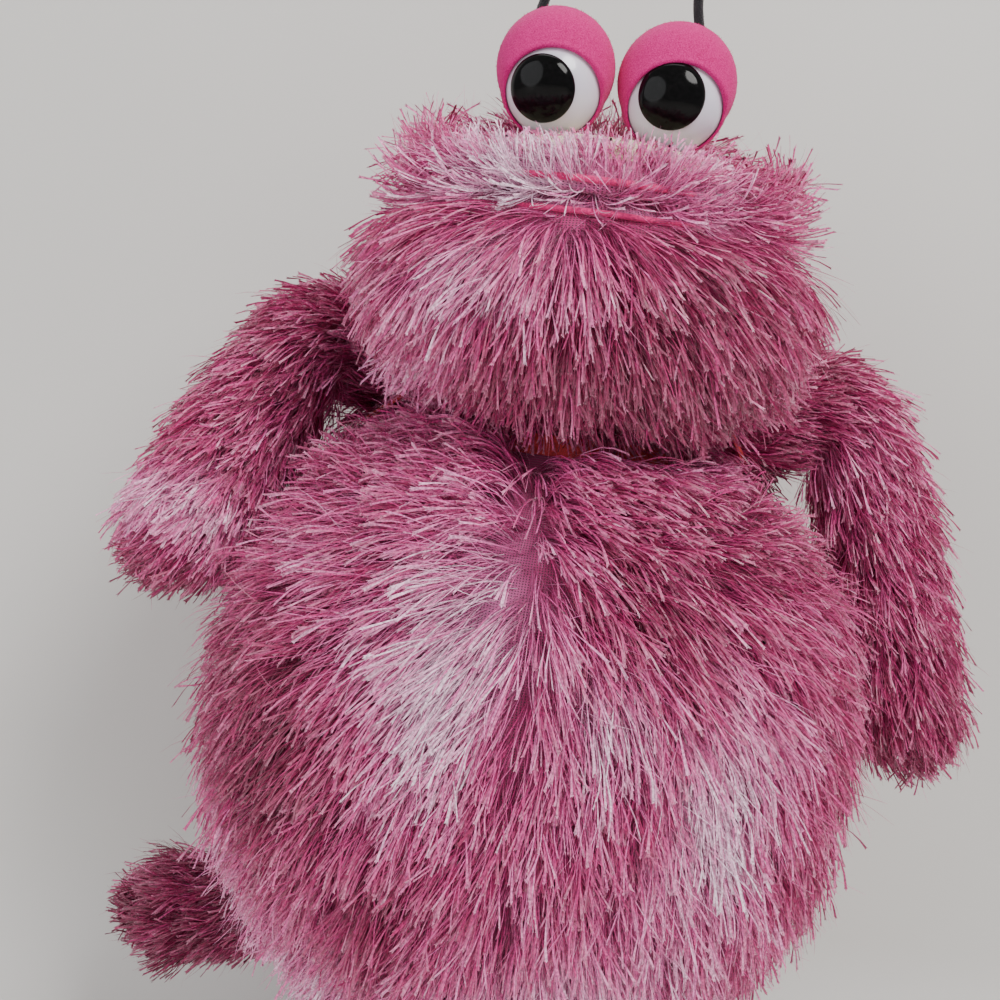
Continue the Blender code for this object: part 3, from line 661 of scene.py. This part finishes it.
def build_torso(yarn, knit):
    skin = torso_skin()
    # painted shade: the backing takes the pile's dye, deepened and darkened, for the shade under the pile
    base = skin.mesh("torso_backing", lambda p: yarn_colour(torso_level(p) * 0.8) * 0.6, knit)
    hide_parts("torso_front_skin", "torso_back_skin")

    def sparse(points, normals):
        """Thin along the parting, and worn down to the knit below the left side of the jaw."""
        parting = np.where(np.abs(points[:, 0] - torso_seam(points)) < 1.3 * MM, 0.35, 1.0)
        worn = patch(points, 48, 190, 26, 9)
        return parting * (1 - 0.6 * worn)

    def shorter_where_worn(full):
        return lambda points: full * (1 - 0.45 * patch(points, 50, 186, 30, 13))

    def raised_on_top(points):
        return 0.52 + 0.45 * np.clip((points[:, 2] - 178 * MM) / (20 * MM), 0, 1)

    made = [base]
    for part, seed in (("a", 101), ("b", 102), ("c", 103), ("d", 104)):
        made.append(grow(f"torso_pile_{part}", skin, yarn, 1900, 8, torso_flow, torso_level,
                         shorter_where_worn(29 * MM), seed, lift=raised_on_top, wanted=sparse, sag=0.30))
    made.append(grow("torso_fine_pile", skin, yarn, 4600, 4, torso_flow, torso_level,
                     shorter_where_worn(31 * MM), 105, lift=0.62, wanted=sparse, width=0.2 * MM,
                     stray=0.32, **FINE_PILE))
    top = Skin(skin.points.reshape(skin.rows, skin.columns, 3)[:9])
    made.append(grow("torso_collar_pile", top, yarn, 700, 8, torso_flow, torso_level, 21 * MM, 106,
                     lift=0.95, sag=0.10, wanted=sparse))
    for pile in made[1:]:
        comb_flat(pile, 88 * MM, 0.33)
    ride_all(made, "torso")


def build_yoke(yarn, knit):
    low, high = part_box("shoulder_yoke_skin")
    centre = ((low.x + high.x) / 2, high.y - 26 * MM, high.z - 36 * MM)
    skin = Skin(rounded_grid(centre, (76 * MM, 19 * MM, 28 * MM), -40, 89))
    # painted shade: the backing takes the pile's dye, deepened and darkened, for the shade under the pile
    base = skin.mesh("shoulder_backing", lambda p: yarn_colour(back_level(p) * 0.75) * 0.55, knit)
    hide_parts("shoulder_yoke_skin")

    def outer_half(points, normals):
        return np.where((normals[:, 1] > -0.35) | (np.abs(points[:, 0]) > 40 * MM), 1.0, 0.0)

    # painted shade: the shoulder pile takes the deep leg level, for the shade between the arms and the neck
    fur = grow("shoulder_pile", skin, yarn, 1800, 7, back_flow, leg_level, 24 * MM, 111,
               wanted=outer_half)
    ride_all([base, fur], "torso")


def build_lower_jaw(yarn, knit):
    low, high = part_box("lower_jaw_skin")
    centre = (0, low.y + 66 * MM, low.z + 42 * MM)
    radii = (high.x - 11 * MM, 55 * MM, 33 * MM)
    body = rounded_grid(centre, radii, -72, 39.5)
    skin = Skin(rolled_edge(body, False, [(0.8 * MM, 1.4 * MM), (2.6 * MM, 2.1 * MM), (6 * MM, 1.9 * MM)]))
    # painted shade: the backing takes the pile's dye, deepened and darkened, for the shade under the pile
    base = skin.mesh("lower_jaw_backing", lambda p: yarn_colour(jowl_level(p) * 0.9) * 0.8, knit)
    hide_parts("lower_jaw_skin")
    lip_z = high.z

    def below_lip(points, normals):
        bare = np.clip((lip_z - 3.5 * MM - points[:, 2]) / (6 * MM), 0.0, 1)
        seam = np.where((np.abs(points[:, 0] + 12 * MM) < 1.5 * MM) & (points[:, 2] < 272 * MM), 0.3, 1)
        return bare * seam * np.where(points[:, 1] > 12 * MM, 0, 1)

    def hanging(points):
        """More lift under the jaw, where outwards is down."""
        return 0.50 + 0.75 * np.clip((240 * MM - points[:, 2]) / (16 * MM), 0, 1)

    flow = from_mouth(-12 * MM, 281 * MM, 0.34)
    made = [base]
    for part, seed in (("a", 121), ("b", 122), ("c", 124)):
        made.append(grow(f"lower_jaw_pile_{part}", skin, yarn, 1500, 8, flow, jowl_level, 29 * MM,
                         seed, lift=hanging, wanted=below_lip, sag=0.26))
    made.append(grow("lower_jaw_fine_pile", skin, yarn, 2600, 4, flow, jowl_level, 31 * MM, 123,
                     lift=hanging, wanted=below_lip, width=0.2 * MM, stray=0.28, **FINE_PILE))
    ride_all(made, "lower_jaw")


def near_eyes(points):
    """True where an eye stands."""
    taken = np.zeros(len(points), bool)
    for word, _ in SIDES:
        low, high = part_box(f"eyelid_{word}")
        middle = (low + high) / 2
        away = np.hypot(points[:, 0] - middle.x, points[:, 1] - (middle.y + 1 * MM))
        taken |= away < 13 * MM
    return taken


def build_upper_jaw(yarn, knit):
    low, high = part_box("upper_jaw_skin")
    centre = (0, low.y + 62 * MM, low.z)
    dome = rounded_grid(centre, (high.x - 11 * MM, 51 * MM, 25 * MM), 1.5, 89)
    dip = np.clip((50 * MM - np.abs(dome[..., 0])) / (12 * MM), 0, 1) * (dome[..., 1] < -10 * MM)
    dome[..., 2] = centre[2] + (dome[..., 2] - centre[2]) * (1 - 0.25 * dip)
    grid = rolled_edge(dome, True,
                       [(0.8 * MM, -0.8 * MM), (2.6 * MM, -1.1 * MM), (6 * MM, -1.0 * MM)])
    raised = np.exp(-((grid[..., 0] - 42 * MM) / (16 * MM)) ** 2) * (grid[..., 1] < -20 * MM)
    grid[..., 2] += 2.4 * MM * raised * np.clip((296 * MM - grid[..., 2]) / (9 * MM), 0, 1)
    skin = Skin(grid)
    # painted shade: the backing takes the pile's dye, deepened and darkened, for the shade under the pile
    base = skin.mesh("upper_jaw_backing", lambda p: yarn_colour(upper_level(p) * 0.9) * 0.75, knit)
    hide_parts("upper_jaw_skin")

    def free_of_eyes(points, normals):
        return np.where(near_eyes(points) | (points[:, 1] > 14 * MM), 0.0, 1.0)

    def short_in_front(points):
        """Long from the lip and at the sides, short just below and between the eyes."""
        middle = np.clip((52 * MM - np.abs(points[:, 0])) / (14 * MM), 0, 1)
        above_lip = np.clip((points[:, 2] - 289 * MM) / (9 * MM), 0, 1)
        front = np.clip((-points[:, 1] - 5 * MM) / (15 * MM), 0, 1)
        return (24 - front * middle * (7 + 11 * above_lip)) * MM

    made = [base]
    made.append(grow("upper_jaw_pile", skin, yarn, 1500, 8, upper_flow, upper_level, short_in_front,
                     131, lift=0.60, wanted=free_of_eyes, sag=0.05, width=0.36 * MM, stray=0.3))
    made.append(grow("upper_jaw_fine_pile", skin, yarn, 2000, 4, upper_flow, upper_level,
                     short_in_front, 132, lift=0.7, wanted=free_of_eyes, width=0.16 * MM,
                     stray=0.45, sag=0.05, **FINE_PILE))
    ride_all(made, "upper_jaw")


def back_skin_grid():
    return rounded_grid((0, 2 * MM, 275 * MM), (59 * MM, 51 * MM, 37 * MM), -62, 89, rows=44)


def hinge_point():
    low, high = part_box("mouth_hinge_roll")
    return (low + high) / 2


def crop_mesh(obj, keep_if):
    """Remove the faces whose middle doesn't pass the test."""
    builder = bmesh.new()
    builder.from_mesh(obj.data)
    gone = [face for face in builder.faces if not keep_if(face.calc_center_median())]
    bmesh.ops.delete(builder, geom=gone, context="FACES")
    builder.to_mesh(obj.data)
    builder.free()
    return obj


def build_head_back(yarn, knit):
    hinge = hinge_point()
    skin = Skin(back_skin_grid())

    def slope(y, z):
        return (y - hinge.y) - (z - hinge.z)

    # painted shade: the backing takes the pile's dye, deepened and darkened, for the shade under the pile
    def colour(points):
        return yarn_colour(back_level(points) * 0.75) * 0.6

    fixed = crop_mesh(skin.mesh("head_back_backing", colour, knit),
                      lambda c: c.y > hinge.y + 1 * MM and slope(c.y, c.z) >= 0)
    crown = crop_mesh(skin.mesh("crown_backing", colour, knit),
                      lambda c: c.y > hinge.y - 3 * MM and slope(c.y, c.z) < 2 * MM and c.z > hinge.z)
    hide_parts("head_back_skin", "nape_skin")
    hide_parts("crown_skin")

    def on_fixed(points, normals):
        return np.where((points[:, 1] > hinge.y) & (slope(points[:, 1], points[:, 2]) >= 0), 1.0, 0)

    def on_crown(points, normals):
        above = slope(points[:, 1], points[:, 2]) < 0
        return np.where((points[:, 1] > hinge.y - 3 * MM) & above & (points[:, 2] > hinge.z), 1.0, 0)

    fur = grow("head_back_pile", skin, yarn, 3600, 7, back_flow, back_level, 24 * MM, 141,
               wanted=on_fixed)
    crown_fur = grow("crown_pile", skin, yarn, 3200, 7, upper_flow, back_level, 23 * MM, 142,
                     wanted=on_crown, sag=0.05)
    ride_all([fixed, fur], "head")
    for piece in (crown, crown_fur):
        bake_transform(piece)


def build_neck(yarn, knit):
    low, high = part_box("neck_sleeve")
    half_x, half_y = high.x + 1 * MM, high.y + 1 * MM
    bulge = np.array([(1.0, 0.0), (1.06, 0.25), (1.08, 0.5), (1.05, 0.75), (0.98, 1.0)])
    curve = curve_through(bulge * (half_x, high.z - low.z) + (0, low.z))
    skin = Skin(lathe_grid(curve[::-1], half_y / half_x))
    # painted shade: the neck backing is a fixed deep crimson, darkened, for the shade between the jaw and the
    # belly
    base = skin.mesh("neck_backing", lambda p: yarn_colour(0 * p[:, 0] + 0.2) * 0.6, knit)
    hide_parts("neck_sleeve")

    def fanned(points, normals):
        return np.stack([points[:, 0], points[:, 1], -0.5 * np.abs(points[:, 0]) - 20 * MM], 1)

    # painted shade: the neck pile takes the deep leg level, for the shade under the jaw
    fur = grow("neck_pile", skin, yarn, 900, 7, fanned, leg_level, 14 * MM, 151, lift=0.4)
    for piece in (base, fur):
        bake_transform(piece)


def limb_skin(route, radii):
    """A sausage with a round end along a route."""
    path = curve_through(route, 8)
    steps = np.linalg.norm(np.diff(path, axis=0), axis=1)
    distance = np.concatenate([[0], np.cumsum(steps)])
    length, tip_r = distance[-1], radii[1]
    turn = Vector(path[1] - path[0]).to_track_quat("Z", "Y").to_matrix()
    turns = []
    for along in np.gradient(path, axis=0):
        turn = (turn @ Vector((0, 0, 1))).rotation_difference(Vector(along)).to_matrix() @ turn
        turns.append(np.array(turn))
    bend = length - tip_r
    side = [(radii[0] + (tip_r - radii[0]) * s, bend * s) for s in np.linspace(0, 1, 18)]
    arc = [(tip_r * math.cos(a) + 1e-5, bend + tip_r * math.sin(a))
           for a in np.linspace(0, math.pi / 2, 8)[1:]]
    rows = []
    around = np.linspace(0, 2 * np.pi, 40, endpoint=False)
    for radius, height in side + arc:
        i = min(int(np.searchsorted(distance, height)), len(path) - 1)
        i = max(i, 1)
        share = (height - distance[i - 1]) / (distance[i] - distance[i - 1])
        place = path[i - 1] * (1 - share) + path[i] * share
        aim = turns[i - 1] * (1 - share) + turns[i] * share
        ring = np.stack([radius * np.cos(around), radius * np.sin(around), 0 * around], 1)
        rows.append(place + ring @ aim.T)
    return Skin(np.array(rows)), path


def along_route(path, lean):
    """Combed towards the tip of the nearest stretch of the route, with a lean of its own."""
    tangents = unit(np.gradient(path, axis=0))

    def flow(points, normals):
        nearest = np.argmin(np.linalg.norm(points[:, None] - path[None], axis=2), axis=1)
        return tangents[nearest] + 0.35 * normals + np.array(lean)
    return flow


def build_limb(kind, word, yarn, knit, radii, level_of, tufts, seed, length, lean):
    route = np.array(LIMB_ROUTES[f"{kind}_{word}"]) * MM
    skin, path = limb_skin(route, radii)
    # painted shade: the backing takes the pile's dye, deepened and darkened, for the shade under the pile
    base = skin.mesh(f"{kind}_{word}_backing", lambda p: yarn_colour(level_of(p) * 0.8) * 0.6, knit)
    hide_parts(f"{kind}_{word}_skin")
    flow = along_route(path, lean)
    made = [base]
    for part in (0, 1):
        made.append(grow(f"{kind}_{word}_pile_{part}", skin, yarn, tufts, 8, flow, level_of, length,
                         seed + part, lift=0.55, sag=0.15))
    made.append(grow(f"{kind}_{word}_fine_pile", skin, yarn, tufts, 4, flow, level_of, length * 1.1,
                     seed + 2, lift=0.6, width=0.2 * MM, stray=0.3, **FINE_PILE))
    ride_all(made, f"{kind}_{word}")


def build_limbs(yarn, knit):
    arm, leg = (12 * MM, 14 * MM), (9 * MM, 12 * MM)
    build_limb("arm", "left", yarn, knit, arm, arm_level_left, 850, 201, 24 * MM, (0.4, 0, -0.1))
    build_limb("arm", "right", yarn, knit, arm, arm_level_right, 850, 211, 23 * MM, (-0.5, 0, 0.1))
    build_limb("leg", "left", yarn, knit, leg, leg_level, 420, 221, 22 * MM, (0, 0, 0))
    build_limb("leg", "right", yarn, knit, leg, leg_level, 420, 231, 22 * MM, (0, 0, 0))


# --------------------------------------------------------------- eyes, mouth

def eye_middle(word):
    low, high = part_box(f"eyeball_{word}")
    return (low + high) / 2, (high.x - low.x) / 2


def ball_mesh(name, centre, radius, material, segments=64, rings=40):
    builder = bmesh.new()
    bmesh.ops.create_uvsphere(builder, u_segments=segments, v_segments=rings, radius=radius)
    mesh = bpy.data.meshes.new(name)
    builder.to_mesh(mesh)
    builder.free()
    mesh.transform(Matrix.Translation(centre))
    mesh.shade_smooth()
    mesh.materials.append(material)
    obj = bpy.data.objects.new(name, mesh)
    bpy.context.scene.collection.objects.link(obj)
    return obj


def cap_points(centre, axis, radius, reach, rings, columns, start=0.0):
    """Points on a sphere round an axis, from angle start to reach, rings x columns."""
    frame_turn = np.array(Vector(axis).to_track_quat("Z", "Y").to_matrix())
    polar = np.linspace(start, reach, rings)[:, None]
    turn = np.linspace(0, 2 * np.pi, columns, endpoint=False)[None]
    local = np.stack([np.sin(polar) * np.cos(turn), np.sin(polar) * np.sin(turn),
                      np.cos(polar) + 0 * turn], 2)
    return np.array(centre) + (local * radius) @ frame_turn.T


def build_pupil(word, material):
    """A domed glossy disc with a rounded edge, following the eyeball."""
    centre, radius = eye_middle(word)
    cloud = np.array([v.co for v in frame["nodes"][f"pupil_{word}"].data.vertices])
    aim = (Vector(cloud.mean(0)) - centre).normalized()
    rows = []
    for share in np.linspace(0.001, 1, 22):
        drop = 1 - (1 - share ** 8) ** 0.5 if share > 0.8 else 0
        rows.append((share * PUPIL_REACH, radius + (1.7 - 1.75 * drop) * MM))
    grid = np.concatenate([cap_points(centre, aim, r, a, 1, 72, a) for a, r in rows])
    obj = Skin(grid).mesh(f"pupil_dome_{word}", lambda p: p * 0, material)
    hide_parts(f"pupil_{word}")
    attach(obj, "upper_jaw")


def lid_surface(lid_centre, outer, ball_centre, inner, tilt, edge, rows=36, columns=96):
    """A hood that is thick over the ball's top and thins down its sides, with a rounded rim.

    The opening faces forward and down (tilt) and its top edge crosses at the angle edge.
    """
    opening = math.radians(tilt)
    towards = Vector((0, -math.sin(opening), -math.cos(opening)))
    start = math.acos(math.sin(math.radians(tilt - edge)))
    angles = np.linspace(start, math.radians(155), rows)
    shell = np.stack([cap_points(lid_centre, towards, outer, a, 1, columns, a)[0] for a in angles])
    middle = np.array(ball_centre)
    away = unit(shell - middle)
    full = np.maximum(np.linalg.norm(shell - middle, axis=2), inner + 0.8 * MM)
    at_rim = np.minimum(full, inner + 2.3 * MM)
    swell = 1 - (1 - np.minimum(1, (angles - start) / math.radians(30))) ** 2
    depth = at_rim + (full - at_rim) * swell[:, None]
    outer_rows = middle + away * depth[..., None]
    into = unit(np.array(towards) - away[0] * (away[0] @ np.array(towards))[:, None])
    half = (depth[0] - inner)[:, None] / 2
    rim = [middle + away[0] * (inner + half * (1 - math.cos(turn))) + into * half * math.sin(turn)
           for turn in np.linspace(0, math.pi, LID_RIM_ROWS + 2)[1:-1]]
    inner_rows = middle + away[:LID_INNER_ROWS] * inner
    return np.concatenate([inner_rows[::-1], np.stack(rim), outer_rows])


def build_lid(word, material):
    centre, radius = eye_middle(word)
    lid_centre = centre + Vector((0, 0, LID_RISE))
    grid = lid_surface(lid_centre, LID_R, centre, radius + 0.25 * MM, LID_TILT, LID_EDGE)
    obj = Skin(grid).mesh(f"eyelid_{word}_shell", lambda p: p * 0, material)
    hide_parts(f"eyelid_{word}")
    outer = Skin(grid[LID_INNER_ROWS + LID_RIM_ROWS:])

    def outward(points, normals):
        return normals + np.array([0, 0, 0.2])

    def pink(points):
        return np.full(len(points), 0.5)

    fuzz = grow(f"eyelid_{word}_flock", outer, FLOCK, 2600, 3, outward, pink, 0.8 * MM, 301,
                width=0.09 * MM, spread=0.6 * MM, stray=0.6, **FLOCK_PILE)
    tint = fuzz.data.color_attributes["yarn"]
    rgba = np.zeros(len(tint.data) * 4, np.float32)
    tint.data.foreach_get("color", rgba)
    rgba = rgba.reshape(-1, 4)
    # the flock's pink follows each fibre's red, so it keeps the painted shade at the fibre roots and the
    # random tone of the fibres
    shade = rgba[:, :1] / max(float(rgba[:, 0].max()), 1e-6)
    rgba[:, :3] = np.array(LID_PINK[:3]) * (0.6 + 0.5 * shade)
    tint.data.foreach_set("color", rgba.ravel())
    ride_all([obj, fuzz], "upper_jaw")


def build_eyes():
    white, black, flock = eye_white_material(), pupil_material(), flock_material()
    for word, _ in SIDES:
        centre, radius = eye_middle(word)
        ball = ball_mesh(f"eye_{word}_white", centre, radius, white)
        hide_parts(f"eyeball_{word}")
        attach(ball, "upper_jaw")
        build_pupil(word, black)
        build_lid(word, flock)


def tube_piece(name, route, radius, material, columns=16):
    """A round stalk along a route, with a rounded tip."""
    path = curve_through(route, 8)
    tangent = unit(np.gradient(path, axis=0))
    side = unit(np.cross(tangent, np.array([0, 1.0, 0])))
    other = np.cross(tangent, side)
    turn = np.linspace(0, 2 * np.pi, columns, endpoint=False)
    share = np.linspace(0, 1, len(path))
    girth = radius * np.minimum(1, np.sqrt(np.maximum(1e-4, 1 - np.clip((share - 0.97) / 0.03, 0, 1) ** 2)))
    ring = (side[:, None] * np.cos(turn)[None, :, None] + other[:, None] * np.sin(turn)[None, :, None])
    skin = Skin(path[:, None] + ring * girth[:, None, None])
    return skin, skin.mesh(name, lambda p: p * 0, material)


def build_antennae():
    velvet = velvet_material()
    for word, side in SIDES:
        foot = next(j for j in frame["joints"] if j["name"] == f"antenna_{word}_bend")["pos_m"]
        route = [(foot[0] + side * x * MM, foot[1] + y * MM, foot[2] + z * MM) for x, y, z in (
            (0, 0, 0), (2, 1, 14), (0.5, 2, 26), (-2, 3, 40), (-0.5, 4, 56), (4.5, 5, 72))]
        skin, stalk = tube_piece(f"antenna_{word}_cord", route, 1.75 * MM, velvet)
        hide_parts(f"antenna_{word}")

        def outward(points, normals):
            return normals + np.array([0, 0, 0.3])

        fuzz = grow(f"antenna_{word}_nap", skin, velvet, 1500, 2, outward, leg_level, 0.8 * MM, 311,
                    width=0.08 * MM, spread=0.4 * MM, stray=0.5, **FLOCK_PILE)
        ride_all([stalk, fuzz], f"antenna_{word}")


def lip_lining(name, z_low, z_high, droop, reach, material):
    """A felt mouth lining that fills the lips: a pillowed half oval with a soft edge."""
    low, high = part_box("upper_mouth_lining")
    half_x, front, back = high.x + reach, low.y - reach, high.y
    centre_y, half_y = front + 46 * MM + reach, 46 * MM + reach
    grid = []
    for share in np.linspace(0.001, 1, 20):
        row = []
        for turn in np.linspace(math.pi, 2 * math.pi, 49):
            x = half_x * math.cos(turn) * share
            y = centre_y + half_y * math.sin(turn) * share
            row.append((x, y, z_low if droop > 0 else z_high))
        for turn in np.linspace(0, math.pi, 49)[1:-1]:
            x = half_x * math.cos(turn) * share
            y = centre_y + (back - centre_y) * math.sin(turn) ** 0.8 * share
            row.append((x, y, z_low if droop > 0 else z_high))
        grid.append(row)
    top = np.array(grid)
    radius = np.linspace(0, 1, 20)[:, None]
    top[..., 2] += droop * 0.6 * MM * (1 - radius ** 4)
    other = top[::-1].copy()
    other[..., 2] += -droop * (z_high - z_low) * 0.9
    skin = Skin(np.concatenate([top, other]))
    return skin.mesh(name, lambda p: p * 0, material)


def build_mouth(felt):
    for jaw, droop, reach in (("upper", -1, 7 * MM), ("lower", 1, 5 * MM)):
        low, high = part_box(f"{jaw}_mouth_lining")
        piece = lip_lining(f"{jaw}_mouth_felt", low.z, high.z, droop, reach, felt)
        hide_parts(f"{jaw}_mouth_lining")
        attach(piece, f"{jaw}_jaw")


# --------------------------------------------- materials of the CAD's own nodes

def paint_node(name, material):
    slots = frame["nodes"][name].data.materials
    slots.clear()
    slots.append(material)


def finish_frame_nodes(felt):
    coral = mottled("coral_binding", CORAL, 0.8, 1400, 0.2 * MM, Sheen_Weight=0.3)
    lining = mottled("sleeve_lining", (0.03, 0.024, 0.028), 0.75, 1800, 0.15 * MM, Sheen_Weight=0.2)
    fill = mottled("fibre_fill", (0.78, 0.78, 0.76), 0.95, 240, 1.2 * MM, 0.1)
    foam = mottled("foam_sheet", (0.76, 0.70, 0.50), 0.95, 900, 0.5 * MM, 0.15)
    board = mottled("fibreboard", (0.28, 0.19, 0.11), 0.85, 700, 0.1 * MM, 0.2)
    nylon = mottled("moulded_nylon", (0.75, 0.75, 0.72), 0.35, 500, 0.03 * MM, 0.05)
    velvet = mottled("velvet_foot", (0.010, 0.009, 0.011), 0.9, 2500, 0.2 * MM, 0.4)
    lilac = mottled("lilac_gusset", (0.62, 0.26, 0.42), 0.85, 900, 0.3 * MM, 0.3)
    wanted = {"lining": lining, "stuffing": fill, "foam": foam, "board": board,
              "shank": nylon, "washer": nylon, "antenna_base": velvet, "gusset": lilac}
    for name in frame["nodes"]:
        for word, material in wanted.items():
            if word in name:
                paint_node(name, material)
    for name in ("hand_opening_binding", "neck_band", "armhole_tape_left", "armhole_tape_right"):
        paint_node(name, coral)
    for name in ("hand_sleeve", "finger_pocket", "thumb_pocket"):
        paint_node(name, lining)
    paint_node("mouth_hinge_roll", felt)


# ------------------------------------------------------------ camera and room

def build_camera():
    data = bpy.data.cameras.new("camera")
    data.lens = CAMERA_LENS
    data.sensor_width = 36
    camera = bpy.data.objects.new("camera", data)
    bpy.context.scene.collection.objects.link(camera)
    target = Vector(CAMERA_TARGET)
    back = Vector((0, -math.cos(CAMERA_ELEVATION), math.sin(CAMERA_ELEVATION)))
    forward = -back
    right = forward.cross(Vector((0, 0, 1))).normalized()
    up = right.cross(forward)
    rolled_up = up * math.cos(CAMERA_ROLL) - right * math.sin(CAMERA_ROLL)
    rolled_right = forward.cross(rolled_up)
    turn = Matrix((rolled_right, rolled_up, back)).transposed().to_4x4()
    camera.matrix_world = Matrix.Translation(target + back * CAMERA_DISTANCE) @ turn
    bpy.context.scene.camera = camera
    data.clip_start, data.clip_end = 0.01, 20


def build_room():
    """A pale seamless sweep: floor that curves up into a wall."""
    floor_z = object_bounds()[0].z - 1 * MM
    wall_y = 150 * MM
    bend = 60 * MM
    section = [(-1.6, floor_z), (wall_y - bend, floor_z)]
    section += [(wall_y - bend + bend * math.sin(a), floor_z + bend - bend * math.cos(a))
                for a in np.linspace(0, math.pi / 2, 12)[1:]]
    section += [(wall_y, 1.8)]
    xs = (-1.8, 1.8)
    verts = [(x, y, z) for y, z in section for x in xs]
    faces = [(i * 2, i * 2 + 1, i * 2 + 3, i * 2 + 2) for i in range(len(section) - 1)]
    mesh = bpy.data.meshes.new("sweep")
    mesh.from_pydata(verts, [], faces)
    mesh.shade_smooth()
    paper = mottled("pale_paper", (0.72, 0.705, 0.68), 0.9, 3, 0.0, 0.03)
    mesh.materials.append(paper)
    sweep = bpy.data.objects.new("sweep", mesh)
    bpy.context.scene.collection.objects.link(sweep)


def area_light(name, place, target, size, power, colour=(1, 1, 1)):
    data = bpy.data.lights.new(name, "AREA")
    data.shape = "DISK"
    data.size, data.energy, data.color = size, power, colour
    lamp = bpy.data.objects.new(name, data)
    bpy.context.scene.collection.objects.link(lamp)
    lamp.location = place
    lamp.rotation_euler = (Vector(target) - Vector(place)).to_track_quat("-Z", "Y").to_euler()


def build_lights():
    middle = (0, 0, 0.2)
    area_light("key", (0.55, -0.95, 1.15), middle, 0.7, 20, (1, 0.985, 0.96))
    area_light("fill", (-0.95, -0.85, 0.45), middle, 1.1, 6, (0.95, 0.97, 1))
    area_light("top", (-0.1, 0.1, 1.3), middle, 0.8, 5)
    world = bpy.data.worlds.new("soft_room")
    world.use_nodes = True
    world.node_tree.nodes["Background"].inputs["Color"].default_value = (0.9, 0.9, 0.92, 1)
    world.node_tree.nodes["Background"].inputs["Strength"].default_value = 0.42
    bpy.context.scene.world = world


FLOCK = yarn_material()
FLOCK.name = "pink_flock"
shader_of(FLOCK).inputs["Roughness"].default_value = 0.9
YARN_LOOK = yarn_material()
KNIT_LOOK = knit_material()
FELT_LOOK = mottled("pink_felt", FELT_PINK, 0.95, 1500, 0.3 * MM, 0.25, Sheen_Weight=0.4)
build_camera()
build_torso(YARN_LOOK, KNIT_LOOK)
build_yoke(YARN_LOOK, KNIT_LOOK)
build_lower_jaw(YARN_LOOK, KNIT_LOOK)
build_upper_jaw(YARN_LOOK, KNIT_LOOK)
build_head_back(YARN_LOOK, KNIT_LOOK)
build_neck(YARN_LOOK, KNIT_LOOK)
build_limbs(YARN_LOOK, KNIT_LOOK)
build_eyes()
build_antennae()
build_mouth(FELT_LOOK)
finish_frame_nodes(FELT_LOOK)
build_room()
build_lights()
